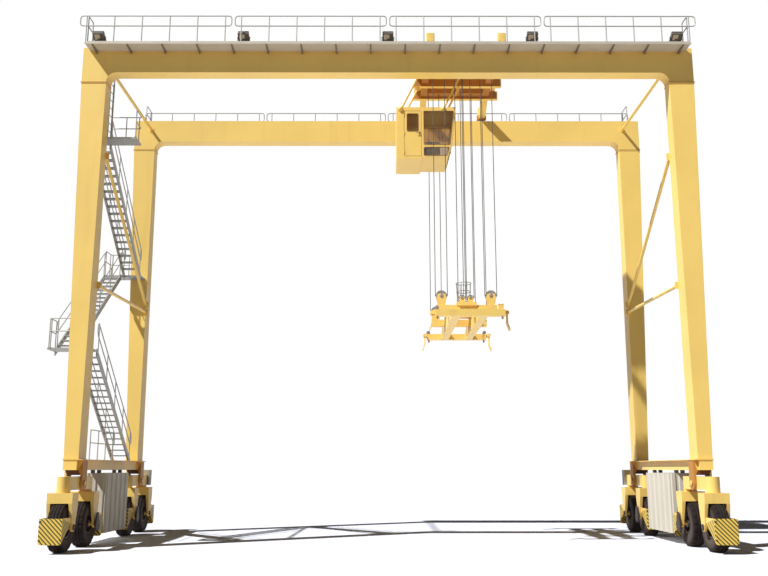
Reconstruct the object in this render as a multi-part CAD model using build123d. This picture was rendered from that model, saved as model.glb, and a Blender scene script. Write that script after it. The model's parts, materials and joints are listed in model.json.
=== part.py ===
# Rubber tyred gantry crane: two portal frames on eight steered wheels, a trolley
# with a hung cab, and a spreader on wire ropes.
# Millimetres. Origin on the ground at the middle of the gantry, X along the span,
# Y along the gantry's travel, Z up.
import os
from math import cos, radians, sin

from build123d import *

# Main frame
SPAN = 20500                    # between the wheel centres of the two sides
LEG_INSET = 175                 # from the wheels' middle to the inner face of a leg
LEG_INNER_Y = 3146              # inner face of a leg, square to the travel
LEG_TOP_WIDTH = 880
LEG_BOTTOM_WIDTH = 475
LEG_TOP_DEPTH = 540
LEG_BOTTOM_DEPTH = 765
SILL_TOP = 2850
LEG_TOP = 16090
GIRDER_BOTTOM = 16465
GIRDER_TOP = 17410
FLANGE = 25                     # thickness of a bolted joint plate
FLANGE_LIP = 20                 # how far a joint plate stands proud

# Sill beams and the saddles that carry the equalisers
SILL_WIDTH = 440
SILL_DEPTH = 345
SILL_OVERHANG = 60              # past the outer face of a leg's foot
SADDLE_PLATE = 70
SADDLE_HALF = 230               # half length of a saddle plate along the sill
SADDLE_GAP = 10                 # between a saddle plate and the equaliser's side
SADDLE_BLOCK = 160              # height of the closing block between two saddle plates
PIN_HEAD = 25                   # how far a pin stands out of its plate

# Running gear
WHEEL_PITCH = 2110              # between the two wheels of a corner
TYRE_RADIUS = 750
TYRE_WIDTH = 440
TYRE_SHOULDER = 70
BEAD_RADIUS = 330
RIM_WIDTH = 390
RIM_DISC = 40
HUB_RADIUS = 130
AXLE_RADIUS = 60
PIVOT_RADIUS = 100
KINGPIN_RADIUS = 90
FIT = 0.05                      # radial clearance of a pin in its bore
SEAT = 0.3                      # gap between a moving piece and its seat
EQUALISER_WIDTH = 430
EQUALISER_BOTTOM = 1880
EQUALISER_TOP = 2300
CONTROL_BOX_WIDTH = 480
CONTROL_BOX_DEPTH = 240
CONTROL_BOX_HEIGHT = 620
CROWN_TOP = 1800
CROWN_DEPTH = 200
CROWN_LENGTH = 560
APRON_PLATE = 40
APRON_BOTTOM = 1480             # lower edge of the crown's front and rear plates
FORK_ARM = 70                   # thickness of an arm at its foot
FORK_GAP = 110                  # between the tyre's side and an arm's foot
FORK_TAPER = 45                 # added to an arm's thickness at the crown
FORK_FOOT = 260                 # length of an arm's foot along the wheel
GUARD_REACH = 860               # from the kingpin to the guard plate
GUARD_PLATE = 30
GUARD_WIDTH = 720
GUARD_ROUND = 90                # radius of the guard's lower corners
GUARD_ROOT = 160                # height of a guard bracket at the fork arm
GUARD_BOTTOM = 280
GUARD_TOP = 1055

# Machinery houses under the sills
HOUSE_WIDTH = 880
HOUSE_LENGTH = 2840
HOUSE_BOTTOM = 350
HOUSE_TOP = 2400
HOUSE_RIBS = 5                  # on a long wall
END_RIBS = 3                    # on an end wall
RIB_ROOT = 380
RIB_TIP = 270
END_RIB_ROOT = 190
END_RIB_TIP = 120
RIB_DEPTH = 35
HANGER = 120

# Bracing
TIE_RADIUS = 60
TIE_PLATE_RADIUS = 108
TIE_INSET = 175                 # from a leg's inner face to the tie's middle
TIE_RISE = 535                  # above the girder's underside
BRACE_INSET = 15                # from a leg's inner face to the braces' middle
BRACE_PLATE = 240
BRACE_LOW_REAR = 8960           # level brace, at the rear leg and at the front leg
BRACE_LOW_FRONT = 8790
BRACE_HIGH_REAR = 9250          # rising brace, at the rear leg and at the front leg
BRACE_HIGH_FRONT = 13500
END_PLATE = 20

# Walkways on the outer sides of the girders
WALK_INSET = 235                # from a girder's end to the walkway's end
WALK_WIDTH = 582
REAR_WALK_WIDTH = 920
WALK_TOP = 17310
WALK_PLATE = 30
TOE_BOARD = 70                  # height of the board along the deck's edge
TOE_PLATE = 10
BRACKET_COUNT = 18
BRACKET_INSET = 248             # from a walkway's end to its first bracket
BRACKET_PLATE = 50
BRACKET_DEPTH = 110
RAIL_PANELS = 4
RAIL_POSTS = 6
RAIL_OVERRUN = 240              # how far the railing runs past a walkway's end
PANEL_GAP = 80
POST_INSET = 245                # from a panel's end to its first post
RAIL_BAR = 42
RAIL_RISE = 1070                # top rail above the deck
MID_RAIL_RISE = 685
RETURN_INSET = 60               # from a walkway's end to the rail across it
RETURN_GAP = 30                 # from that rail's inner post to the girder
LAMP_COUNT = 5
LAMP_INSET = 400                # from a walkway's end to the first lamp
LAMP_WIDTH = 390
LAMP_LENGTH = 430
LAMP_DEPTH = 140
LAMP_TILT = 30
LAMP_RISE = 365                 # lamp's middle above the deck
LAMP_SET_BACK = 300             # lamp's middle behind the deck's edge
LAMP_FOOT = 90
LAMP_ROUND = 25

# Stairs on the left side
LANE_WIDTH = 700
LANE_INSET = 785                # from a leg's inner face to the inner lane's outer edge
LANE_GAP = 100                  # between the two lanes
FLIGHT_HALF_RUN = 2440
LANDING_1 = 6604
LANDING_2 = 10363
LANDING_3 = 14224
TREADS = 18
TREAD_DEPTH = 240
TREAD_PLATE = 35
STRINGER = 45
STRINGER_BELOW = 190
STRINGER_ABOVE = 60
LANDING_PLATE = 60
HANDRAIL = 1000
KNEE_RAIL = 560
HAND_BAR = 40
STAIR_POSTS = 5                 # along a flight
SILL_RAIL_FRONT = -2100         # railing on the sill, from front to rear
SILL_RAIL_REAR = 500
SILL_RAIL_POSTS = 4
PLATFORM_REACH = 1025           # from a leg's inner face to the platform's end
LADDER_INSET = 25               # from a leg's inner face to the ladder's middle
LADDER_WIDTH = 420
LADDER_TOP = 17950
LADDER_STILE = 50
RUNG_RADIUS = 14
RUNG_PITCH = 300

# Trolley
TROLLEY_X = 2850
TRACK_RAIL_WIDTH = 60
TRACK_RAIL_HEIGHT = 80
TRACK_OVERRUN = 225             # how far a rail runs past the legs' inner faces
TROLLEY_WHEEL_RADIUS = 150
TROLLEY_WHEEL_WIDTH = 110
TROLLEY_BASE = 2600             # between the wheel centres of a trolley side
AXLE_STUB = 45
BLOCK_WALL = 35
BLOCK_GAP = 15
BLOCK_BELOW = 70
BLOCK_ABOVE = 110
FRAME_BOTTOM = 17880
FRAME_DEPTH = 350
LONG_BEAM_HALF = 1830
LONG_BEAM_WIDTH = 200
LONG_BEAM_ROUND = 95
LONG_BEAM_SLANT = 240           # how far the left end leans in at the top
LONG_BEAM_IN = 700
LONG_BEAM_OUT = 1950
CROSS_BEAM_WIDTH = 260
CROSS_BEAM_DEPTH = 240
LEG_FOOT = 420
ROPE_BLOCK_HALF = 1250          # half length of the block that holds the rope ends
ROPE_BLOCK_REACH = 100          # past the ropes
CABLE_ARM = 160
TROLLEY_DECK = 30
TROLLEY_DECK_HALF = 1700
TROLLEY_DECK_LIP = 300          # past the middle of the outer long beams
ROPE_TOP = 17990
DRUM_RADIUS = 330
DRUM_LENGTH = 2100
DRUM_LIFT = 80
MOTOR_RADIUS = 200
GEARBOX_WIDTH = 1060
GEARBOX_RISE = 110              # gearbox top above the drum's axis
PEDESTAL = 120

# Cab
CAB_BACK = 350
CAB_ROOF_FRONT = 2650
CAB_HALF_DEPTH = 915
CAB_ROOF = 16320
CAB_FLOOR = 14220
CAB_KINK_X = 2478
CAB_KINK_Z = 14800
CAB_TOE_X = 2336
CAB_TOE_Z = 14310
CAB_SKIRT_END = 1310
CAB_WALL = 50
CAB_GLASS = 12
SCREEN_FRAME = 60
DOOR_LEFT = 642
DOOR_RIGHT = 1306
DOOR_TOP = 16170
DOOR_BOTTOM = 14330
DOOR_FRAME = 110
DOOR_WINDOW_BOTTOM = 15335
SIDE_GLASS_LEFT = 1403
SIDE_GLASS_TOP = 16166
SIDE_GLASS_BOTTOM = 14790
LOW_GLASS_TOP = 14690
LOW_GLASS_BOTTOM = 14350
STRUT_RADIUS = 40
STRUT_REAR = 526
STRUT_FRONT = 2178
STRUT_LEAN = 760
LUG_RADIUS = 95

# Spreader and ropes
SPREADER_BOTTOM = 7740
SPREADER_LENGTH = 6058
SPREADER_WIDTH = 2438
TWISTLOCK_INSET_X = 89.5        # from the spreader's sides and ends
TWISTLOCK_INSET_Y = 102.5
TWISTLOCK_RADIUS = 30
TWISTLOCK_LENGTH = 110
END_BEAM_HEIGHT = 230
END_BEAM_WIDTH = 260
MAIN_BEAM_WIDTH = 300
MAIN_BEAM_X = 480
JUNCTION_BOX = 180              # small box on the front end beam
JUNCTION_BOX_INSET = 139        # from the spreader's right side
JUNCTION_BOX_HEIGHT = 190
HEADBLOCK_BOTTOM = 8090
HEADBLOCK_TOP = 8350
HEADBLOCK_BEAM = 260
SHEAVE_RADIUS = 205
SHEAVE_WIDTH = 90
SHEAVE_AXLE = 40
GROOVE = 35
SHEAVE_X = 900
SHEAVE_Y = 1630
SHEAVE_RISE = 350               # a corner sheave's axle above the headblock
CHEEK = 30
CHEEK_FOOT = 0.62               # half widths and shoulder of a cheek, as shares of its sheave
CHEEK_WAIST = 0.9
CHEEK_SHOULDER = 0.35
ROPE_RADIUS = 14
MID_SHEAVE_X = 155
MID_TABLE_HALF = 365            # half width of the table under the middle sheaves
MID_TABLE_LIP = 50              # ahead of the headblock's front beam
MID_TABLE_TOP = 8450
MID_TABLE_PLATE = 130
MID_SHEAVE_RADIUS = 120
MID_SHEAVE_RISE = 170           # a middle sheave's axle above its table
CABLE_X = 2990
BASKET_Y = 820
BASKET_TOP = 9690
BASKET_RADIUS = 305             # at the top
BASKET_FOOT = 235               # radius at the bottom
BASKET_TABLE = 300              # half width of the table under the basket
BASKET_BAR = 24
BASKET_WIRES = 8
BASKET_RINGS = 4
FLIPPER_LENGTH = 620
FLIPPER_KNEE = 370              # from the hinge down to the bend
FLIPPER_PLATE = 40
FLIPPER_WIDTH = 260
FLIPPER_INSET = 329             # from the spreader's end to a flipper's middle
FLIPPER_OFFSET = 90
FLIPPER_AXIS = 7890
FLIPPER_PIN = 30
FLIPPER_LUG = 30
FLIPPER_FLARE = 90

WHEEL_X = SPAN / 2
LEG_INNER_X = WHEEL_X - LEG_INSET
TIE_X = LEG_INNER_X + TIE_INSET
BRACE_X = LEG_INNER_X + BRACE_INSET
INNER_LANE = -LEG_INNER_X - LANE_INSET
OUTER_LANE = INNER_LANE - LANE_WIDTH - LANE_GAP
PLATFORM_INNER = -LEG_INNER_X + PLATFORM_REACH
LADDER_X = -LEG_INNER_X - LADDER_INSET
TRACK_RAIL_HALF = LEG_INNER_X + TRACK_OVERRUN
TWISTLOCK_PITCH_X = SPREADER_WIDTH - 2 * TWISTLOCK_INSET_X
TWISTLOCK_PITCH_Y = SPREADER_LENGTH - 2 * TWISTLOCK_INSET_Y
JUNCTION_BOX_X = SPREADER_WIDTH / 2 - JUNCTION_BOX_INSET
FLIPPER_Y = SPREADER_LENGTH / 2 - FLIPPER_INSET
SHEAVE_HEIGHT = HEADBLOCK_TOP + SHEAVE_RISE
MID_SHEAVE_HEIGHT = MID_TABLE_TOP + MID_SHEAVE_RISE
SILL_X = LEG_INNER_X + LEG_BOTTOM_WIDTH / 2
PIVOT_Y = LEG_INNER_Y + LEG_BOTTOM_DEPTH / 2
PIVOT_Z = (EQUALISER_BOTTOM + EQUALISER_TOP) / 2
GIRDER_OUTER_Y = LEG_INNER_Y + LEG_TOP_DEPTH
GIRDER_Y = LEG_INNER_Y + LEG_TOP_DEPTH / 2
LEG_OUTER_X = LEG_INNER_X + LEG_TOP_WIDTH
WALK_HALF = LEG_OUTER_X - WALK_INSET
RAIL_GAPS = (RAIL_PANELS - 1) * PANEL_GAP
PANEL_LENGTH = (2 * (WALK_HALF + RAIL_OVERRUN) - RAIL_GAPS) / RAIL_PANELS
BRACKET_PITCH = 2 * (WALK_HALF - BRACKET_INSET) / (BRACKET_COUNT - 1)
LAMP_PITCH = 2 * (WALK_HALF - LAMP_INSET) / (LAMP_COUNT - 1)
SILL_BOTTOM = SILL_TOP - SILL_DEPTH
SILL_HALF = LEG_INNER_Y + LEG_BOTTOM_DEPTH + SILL_OVERHANG
CHEEK_INNER = EQUALISER_WIDTH / 2 + SADDLE_GAP
CHEEK_OUTER = CHEEK_INNER + SADDLE_PLATE
ARM_INNER = TYRE_WIDTH / 2 + FORK_GAP
FORK_HALF_WIDTH = ARM_INNER + FORK_ARM
TIE_HEIGHT = GIRDER_BOTTOM + TIE_RISE
RAIL_TOP = WALK_TOP + RAIL_RISE
RAIL_MID = WALK_TOP + MID_RAIL_RISE
TRACK_TOP = GIRDER_TOP + TRACK_RAIL_HEIGHT
FRAME_TOP = FRAME_BOTTOM + FRAME_DEPTH
DECK_TOP = FRAME_TOP + TROLLEY_DECK
TROLLEY_AXLE = TRACK_TOP + SEAT + TROLLEY_WHEEL_RADIUS


def block(x0, x1, y0, y1, z0, z1):
    """Box between two corners."""
    box = Box(abs(x1 - x0), abs(y1 - y0), abs(z1 - z0))
    return Pos((x0 + x1) / 2, (y0 + y1) / 2, (z0 + z1) / 2) * box


def bar(start, end, radius):
    """Round bar from one point to another."""
    start, end = Vector(*start), Vector(*end)
    run = end - start
    return Plane(origin=(start + end) / 2, z_dir=run) * Cylinder(radius, run.length)


def plate_yz(points, x0, x1):
    """Plate with an outline in the YZ plane, from x0 to x1."""
    face = make_face(Polyline(*points, close=True))
    return extrude(Plane.YZ.offset(x0) * face, x1 - x0)


def plate_xz(points, y0, y1):
    """Plate with an outline in the XZ plane, from y0 to y1."""
    face = make_face(Polyline(*points, close=True))
    return extrude(Plane(origin=(0, y1, 0), x_dir=(1, 0, 0), z_dir=(0, -1, 0)) * face, y1 - y0)


def in_x(shape):
    """The shape and its mirror image on the other side of the span."""
    return [shape, mirror(shape, about=Plane.YZ)]


def in_y(shape):
    """The shape and its mirror image on the other portal frame."""
    return [shape, mirror(shape, about=Plane.XZ)]


def save(name, *shapes):
    """Write one node from all the solids of the given shapes."""
    solids = [solid for shape in shapes for solid in shape.solids()]
    export_step(Compound(solids), f"parts/{name}.step")


def girder():
    """Box girder of one portal, with curved knees down to the legs' joint plates."""
    foot = LEG_TOP + FLANGE
    knee = GIRDER_BOTTOM - foot
    inner, outer = LEG_INNER_X, LEG_OUTER_X
    bend = knee * (1 - cos(radians(45)))
    outline = [
        Polyline((-inner, foot), (-outer, foot), (-outer, GIRDER_TOP), (outer, GIRDER_TOP), (outer, foot),
                 (inner, foot)),
        ThreePointArc((inner, foot), (inner - bend, GIRDER_BOTTOM - bend), (inner - knee, GIRDER_BOTTOM)),
        Line((inner - knee, GIRDER_BOTTOM), (knee - inner, GIRDER_BOTTOM)),
        ThreePointArc((knee - inner, GIRDER_BOTTOM), (bend - inner, GIRDER_BOTTOM - bend), (-inner, foot)),
    ]
    front = Plane(origin=(0, -LEG_INNER_Y, 0), x_dir=(1, 0, 0), z_dir=(0, -1, 0))
    beam = extrude(front * make_face(Curve() + outline), LEG_TOP_DEPTH)
    plate = block(LEG_INNER_X - FLANGE_LIP, LEG_OUTER_X + FLANGE_LIP, -GIRDER_OUTER_Y - FLANGE_LIP,
                  -LEG_INNER_Y, LEG_TOP, LEG_TOP + FLANGE)
    return Part() + [beam] + in_x(plate)


def leg():
    """Tapered box leg at the right front corner, between its two joint plates."""
    def section(width, depth, height):
        centre = Pos(LEG_INNER_X + width / 2, -LEG_INNER_Y - depth / 2, height)
        return centre * Rectangle(width, depth)

    def joint_plate(width, depth, z0):
        return block(LEG_INNER_X - FLANGE_LIP, LEG_INNER_X + width + FLANGE_LIP,
                     -LEG_INNER_Y - depth - FLANGE_LIP, -LEG_INNER_Y, z0, z0 + FLANGE)

    column = loft([section(LEG_BOTTOM_WIDTH, LEG_BOTTOM_DEPTH, SILL_TOP + FLANGE),
                   section(LEG_TOP_WIDTH, LEG_TOP_DEPTH, LEG_TOP - FLANGE)])
    return Part() + [column, joint_plate(LEG_BOTTOM_WIDTH, LEG_BOTTOM_DEPTH, SILL_TOP),
                     joint_plate(LEG_TOP_WIDTH, LEG_TOP_DEPTH, LEG_TOP - FLANGE)]


def saddle_plate(x0, x1, y):
    """Plate of a saddle, rounded below around the equaliser's pin."""
    upper = block(x0, x1, y - SADDLE_HALF, y + SADDLE_HALF, PIVOT_Z, SILL_TOP - FLANGE)
    return upper + bar((x0, y, PIVOT_Z), (x1, y, PIVOT_Z), SADDLE_HALF)


def sill():
    """Right sill beam with a saddle and a pivot pin under each leg."""
    inner, outer = SILL_X - SILL_WIDTH / 2, SILL_X + SILL_WIDTH / 2
    under = SILL_TOP - FLANGE
    beam = block(inner, outer, -SILL_HALF, SILL_HALF, SILL_BOTTOM, under)
    top = block(WHEEL_X - CHEEK_OUTER - FLANGE_LIP, WHEEL_X + CHEEK_OUTER + FLANGE_LIP,
                -SILL_HALF - FLANGE_LIP, SILL_HALF + FLANGE_LIP, under, SILL_TOP)
    pieces = [beam, top]
    reach = CHEEK_OUTER + PIN_HEAD
    for y in (-PIVOT_Y, PIVOT_Y):
        ends = (y - SADDLE_HALF, y + SADDLE_HALF)
        pieces += [saddle_plate(WHEEL_X - CHEEK_OUTER, WHEEL_X - CHEEK_INNER, y),
                   saddle_plate(WHEEL_X + CHEEK_INNER, WHEEL_X + CHEEK_OUTER, y),
                   block(WHEEL_X - CHEEK_INNER, inner, *ends, SILL_BOTTOM, under),
                   block(WHEEL_X - CHEEK_INNER, WHEEL_X + CHEEK_INNER, *ends,
                         SILL_BOTTOM - SADDLE_BLOCK, SILL_BOTTOM),
                   bar((WHEEL_X - reach, y, PIVOT_Z), (WHEEL_X + reach, y, PIVOT_Z), PIVOT_RADIUS)]
    return Part() + pieces


def equaliser():
    """Equaliser beam at the right front corner, with a kingpin under each end."""
    plan = Pos(WHEEL_X, -PIVOT_Y) * SlotOverall(WHEEL_PITCH + EQUALISER_WIDTH, EQUALISER_WIDTH, rotation=90)
    beam = Pos(0, 0, EQUALISER_BOTTOM) * extrude(plan, EQUALISER_TOP - EQUALISER_BOTTOM)
    for end in (-1, 1):
        y = -PIVOT_Y + end * WHEEL_PITCH / 2
        beam += bar((WHEEL_X, y, CROWN_TOP - CROWN_DEPTH), (WHEEL_X, y, EQUALISER_BOTTOM), KINGPIN_RADIUS)
        beam += bar((WHEEL_X, y, CROWN_TOP + SEAT), (WHEEL_X, y, EQUALISER_BOTTOM), EQUALISER_WIDTH / 2)
    ends = [(WHEEL_X + side * CHEEK_OUTER, -PIVOT_Y, PIVOT_Z) for side in (-1, 1)]
    return beam - bar(*ends, PIVOT_RADIUS + FIT)


def control_box():
    """Box on the outer end of the right front equaliser, its back let into the round end."""
    tip = -PIVOT_Y - WHEEL_PITCH / 2 - EQUALISER_WIDTH / 2
    x0 = WHEEL_X - CHEEK_INNER - SADDLE_PLATE
    return block(x0, x0 + CONTROL_BOX_WIDTH, tip - CONTROL_BOX_DEPTH, tip + EQUALISER_WIDTH / 4,
                 EQUALISER_BOTTOM, EQUALISER_BOTTOM + CONTROL_BOX_HEIGHT)


def fork():
    """Wheel fork at the origin of its kingpin, with an axle and a guard plate ahead, towards -Y."""
    half, foot = CROWN_LENGTH / 2, FORK_FOOT / 2
    under = CROWN_TOP - CROWN_DEPTH
    crown = block(-FORK_HALF_WIDTH, FORK_HALF_WIDTH, -half, half, under, CROWN_TOP)
    crown -= bar((0, 0, under), (0, 0, CROWN_TOP), KINGPIN_RADIUS + FIT)
    apron = block(-FORK_HALF_WIDTH, FORK_HALF_WIDTH, -half, APRON_PLATE - half, APRON_BOTTOM, under)
    side = [(-half, under), (-half, APRON_BOTTOM), (-foot, TYRE_RADIUS), (foot, TYRE_RADIUS),
            (half, APRON_BOTTOM), (half, under)]
    top = ARM_INNER - FORK_TAPER
    taper = [(top, under), (top, APRON_BOTTOM), (ARM_INNER, TYRE_RADIUS), (FORK_HALF_WIDTH, TYRE_RADIUS),
             (FORK_HALF_WIDTH, under)]
    arm = plate_yz(side, top, FORK_HALF_WIDTH) & plate_xz(taper, -half, half)
    arm += bar((ARM_INNER, 0, TYRE_RADIUS), (FORK_HALF_WIDTH, 0, TYRE_RADIUS), foot)
    reach = FORK_HALF_WIDTH + PIN_HEAD
    axle = bar((-reach, 0, TYRE_RADIUS), (reach, 0, TYRE_RADIUS), AXLE_RADIUS)
    bracket = [(-GUARD_REACH, GUARD_TOP), (-GUARD_REACH, GUARD_BOTTOM + GUARD_ROUND),
               (-foot, GUARD_TOP - GUARD_ROOT), (-foot, GUARD_TOP)]
    brackets = in_x(plate_yz(bracket, ARM_INNER, ARM_INNER + GUARD_PLATE))
    return Part() + [crown, axle, guard(), *in_y(apron), *in_x(arm), *brackets]


def guard():
    """Guard plate ahead of a wheel, with rounded lower corners."""
    middle = (GUARD_BOTTOM + GUARD_TOP) / 2
    outline = Pos(0, middle) * Rectangle(GUARD_WIDTH, GUARD_TOP - GUARD_BOTTOM)
    outline = fillet(outline.vertices().sort_by(Axis.Y)[:2], GUARD_ROUND)
    return across(outline, -GUARD_REACH - GUARD_PLATE, -GUARD_REACH)


def tyre():
    """Tyre about the X axis, with rounded shoulders."""
    section = Pos(0, (BEAD_RADIUS + TYRE_RADIUS) / 2) * RectangleRounded(
        TYRE_WIDTH, TYRE_RADIUS - BEAD_RADIUS, TYRE_SHOULDER)
    return revolve(section, Axis.X)


def rim():
    """Rim, disc and bored hub about the X axis."""
    half = RIM_WIDTH / 2
    outer = BEAD_RADIUS - SEAT
    bore = AXLE_RADIUS + FIT
    outline = [(-half, bore), (-half, HUB_RADIUS), (-RIM_DISC, HUB_RADIUS), (-RIM_DISC, outer - RIM_DISC),
               (-half, outer - RIM_DISC), (-half, outer), (half, outer), (half, outer - RIM_DISC),
               (RIM_DISC, outer - RIM_DISC), (RIM_DISC, HUB_RADIUS), (half, HUB_RADIUS), (half, bore)]
    return revolve(make_face(Polyline(*outline, close=True)), Axis.X)


def wall_ribs(length, count, root, tip):
    """Pressed ribs of a house wall along X, standing out towards +Y from a flat wall at Y 0."""
    ribs = []
    for index in range(count):
        x = ((index + 0.5) / count - 0.5) * length
        face = make_face(Polyline((x - root / 2, 0), (x + root / 2, 0), (x + tip / 2, RIB_DEPTH),
                                  (x - tip / 2, RIB_DEPTH), close=True))
        ribs.append(extrude(face, HOUSE_TOP - HOUSE_BOTTOM))
    return Pos(0, 0, HOUSE_BOTTOM) * Compound(ribs)


def machinery_house():
    """Right machinery house with ribbed walls, hung under the sill."""
    wide, long = HOUSE_WIDTH - 2 * RIB_DEPTH, HOUSE_LENGTH - 2 * RIB_DEPTH
    pieces = [block(SILL_X - wide / 2, SILL_X + wide / 2, -long / 2, long / 2, HOUSE_BOTTOM, HOUSE_TOP)]
    centre = Pos(SILL_X, 0, 0)
    for turn in (0, 180):
        end_wall = Pos(0, long / 2) * wall_ribs(wide, END_RIBS, END_RIB_ROOT, END_RIB_TIP)
        long_wall = Pos(0, wide / 2) * wall_ribs(long, HOUSE_RIBS, RIB_ROOT, RIB_TIP)
        pieces += (centre * Rot(0, 0, turn) * end_wall).solids()
        pieces += (centre * Rot(0, 0, turn + 90) * long_wall).solids()
    half = HANGER / 2
    for y in (-long / 2 + HANGER, long / 2 - HANGER):
        for x in (SILL_X - SILL_WIDTH / 4, SILL_X + SILL_WIDTH / 4):
            pieces.append(block(x - half, x + half, y - half, y + half, HOUSE_TOP, SILL_BOTTOM))
    return Part() + pieces


def end_plate(y0, y1, height):
    """Welded end plate of a side brace on the inner face of a leg."""
    half = BRACE_PLATE / 2
    return block(BRACE_X - half, BRACE_X + half, y0, y1, height - half, height + half)


def side_brace(rear_height, front_height):
    """Right side brace between the rear leg and the front leg, with an end plate at each."""
    tube = bar((BRACE_X, LEG_INNER_Y, rear_height), (BRACE_X, -LEG_INNER_Y, front_height), TIE_RADIUS)
    between_legs = block(0, 2 * BRACE_X, -LEG_INNER_Y, LEG_INNER_Y, 0, GIRDER_TOP)
    return (Part() + [tube, end_plate(LEG_INNER_Y - END_PLATE, LEG_INNER_Y, rear_height),
                      end_plate(-LEG_INNER_Y, END_PLATE - LEG_INNER_Y, front_height)]) & between_legs


def girder_tie():
    """Tube between the two girders over the right legs, with round end plates."""
    tube = bar((TIE_X, -LEG_INNER_Y, TIE_HEIGHT), (TIE_X, LEG_INNER_Y, TIE_HEIGHT), TIE_RADIUS)
    plate = bar((TIE_X, -LEG_INNER_Y, TIE_HEIGHT), (TIE_X, -LEG_INNER_Y + END_PLATE, TIE_HEIGHT),
                TIE_PLATE_RADIUS)
    return Part() + [tube] + in_y(plate)


def walkway(width):
    """Front walkway of a given width: a deck with a board along its edge and brackets under it."""
    edge, wall = -GIRDER_OUTER_Y - width, -GIRDER_OUTER_Y
    under = WALK_TOP - WALK_PLATE
    deck = block(-WALK_HALF, WALK_HALF, edge, wall, under, WALK_TOP)
    board = block(-WALK_HALF, WALK_HALF, edge, edge + TOE_PLATE, WALK_TOP, WALK_TOP + TOE_BOARD)
    web = [(wall, under), (edge, under), (edge, under - WALK_PLATE), (wall, under - BRACKET_DEPTH)]
    brackets = []
    for index in range(BRACKET_COUNT):
        x = (index - (BRACKET_COUNT - 1) / 2) * BRACKET_PITCH
        brackets.append(plate_yz(web, x - BRACKET_PLATE / 2, x + BRACKET_PLATE / 2))
    return Part() + [deck, board] + brackets


def railing(width):
    """Railing of a front walkway: closed loops of rail on posts, and a rail across each end."""
    loop_height = RAIL_TOP - RAIL_MID + RAIL_BAR
    centre = (RAIL_TOP + RAIL_MID - RAIL_BAR) / 2
    hole = SlotOverall(PANEL_LENGTH - 2 * RAIL_BAR, loop_height - 2 * RAIL_BAR)
    loop = Pos(0, centre) * (SlotOverall(PANEL_LENGTH, loop_height) - hole)
    pitch = (PANEL_LENGTH - 2 * POST_INSET) / (RAIL_POSTS - 1)
    post = Rectangle(RAIL_BAR, RAIL_TOP - RAIL_BAR - WALK_TOP)
    for index in range(RAIL_POSTS):
        x = -PANEL_LENGTH / 2 + POST_INSET + index * pitch
        loop += Pos(x, (WALK_TOP + RAIL_TOP - RAIL_BAR) / 2) * post
    rail_y = -GIRDER_OUTER_Y - width + TOE_PLATE + RAIL_BAR
    panels = []
    for index in range(RAIL_PANELS):
        x = (index - (RAIL_PANELS - 1) / 2) * (PANEL_LENGTH + PANEL_GAP)
        plane = Plane(origin=(x, rail_y, 0), x_dir=(1, 0, 0), z_dir=(0, -1, 0))
        panels.append(extrude(plane * loop, RAIL_BAR))
    x, start = WALK_HALF - RETURN_INSET, rail_y + RAIL_BAR / 2 + SEAT
    end = -GIRDER_OUTER_Y - RETURN_GAP
    levels = (RAIL_RISE - RAIL_BAR, MID_RAIL_RISE - RAIL_BAR)
    return panels + in_x(level_rail((x, start), (x, end), WALK_TOP, levels, 2, RAIL_BAR))


def floodlights():
    """Row of lamps on the front walkway that look down over its edge, each on a foot."""
    y = -GIRDER_OUTER_Y - WALK_WIDTH + LAMP_SET_BACK
    half = LAMP_FOOT / 2
    lamps = []
    for index in range(LAMP_COUNT):
        x = (index - (LAMP_COUNT - 1) / 2) * LAMP_PITCH
        foot = block(x - half, x + half, y - half, y + half, WALK_TOP, WALK_TOP + LAMP_RISE)
        case = fillet(Box(LAMP_WIDTH, LAMP_LENGTH, LAMP_DEPTH).edges().filter_by(Axis.Z), LAMP_ROUND)
        lamps.append(foot + Pos(x, y, WALK_TOP + LAMP_RISE) * Rot(-LAMP_TILT, 0, 0) * case)
    return lamps


def sloped_plate(x0, x1, start, end, lower, upper):
    """Plate between two parallel sloping edges, upright at both ends; start and end are (y, z)."""
    (y0, z0), (y1, z1) = start, end
    return plate_yz([(y0, z0 + lower), (y1, z1 + lower), (y1, z1 + upper), (y0, z0 + upper)], x0, x1)


def flight(lane, start, end):
    """Stair flight in a lane from start to end, both (y, z) at the landings' edges."""
    (y0, z0), (y1, z1) = start, end
    left, right = lane, lane + LANE_WIDTH
    pieces = [sloped_plate(x, x + STRINGER, start, end, -STRINGER_BELOW, STRINGER_ABOVE)
              for x in (left, right - STRINGER)]
    for index in range(1, TREADS):
        share = index / TREADS
        y, z = y0 + share * (y1 - y0), z0 + share * (z1 - z0)
        pieces.append(block(left + STRINGER, right - STRINGER, y - TREAD_DEPTH / 2, y + TREAD_DEPTH / 2,
                            z - TREAD_PLATE, z))
    above_sill = block(left, right, -LEG_INNER_Y, LEG_INNER_Y, SILL_TOP, GIRDER_TOP)
    return (Part() + pieces) & above_sill


def flight_rail(lane, start, end):
    """Both handrails of a flight, on its stringers."""
    (y0, z0), (y1, z1) = start, end
    slope = (z1 - z0) / (y1 - y0)
    step = HAND_BAR if y1 > y0 else -HAND_BAR
    inset = (STRINGER - HAND_BAR) / 2
    rails = []
    for x in (lane + inset, lane + LANE_WIDTH - STRINGER + inset):
        pieces = [sloped_plate(x, x + HAND_BAR, start, end, level, level + HAND_BAR)
                  for level in (HANDRAIL, KNEE_RAIL)]
        for index in range(STAIR_POSTS):
            y = y0 + index / (STAIR_POSTS - 1) * (y1 - y0 - step)
            z = z0 + (y - y0) * slope
            pieces.append(sloped_plate(x, x + HAND_BAR, (y, z), (y + step, z + step * slope),
                                       STRINGER_ABOVE, HANDRAIL))
        rails.append(Part() + pieces)
    return rails


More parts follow.
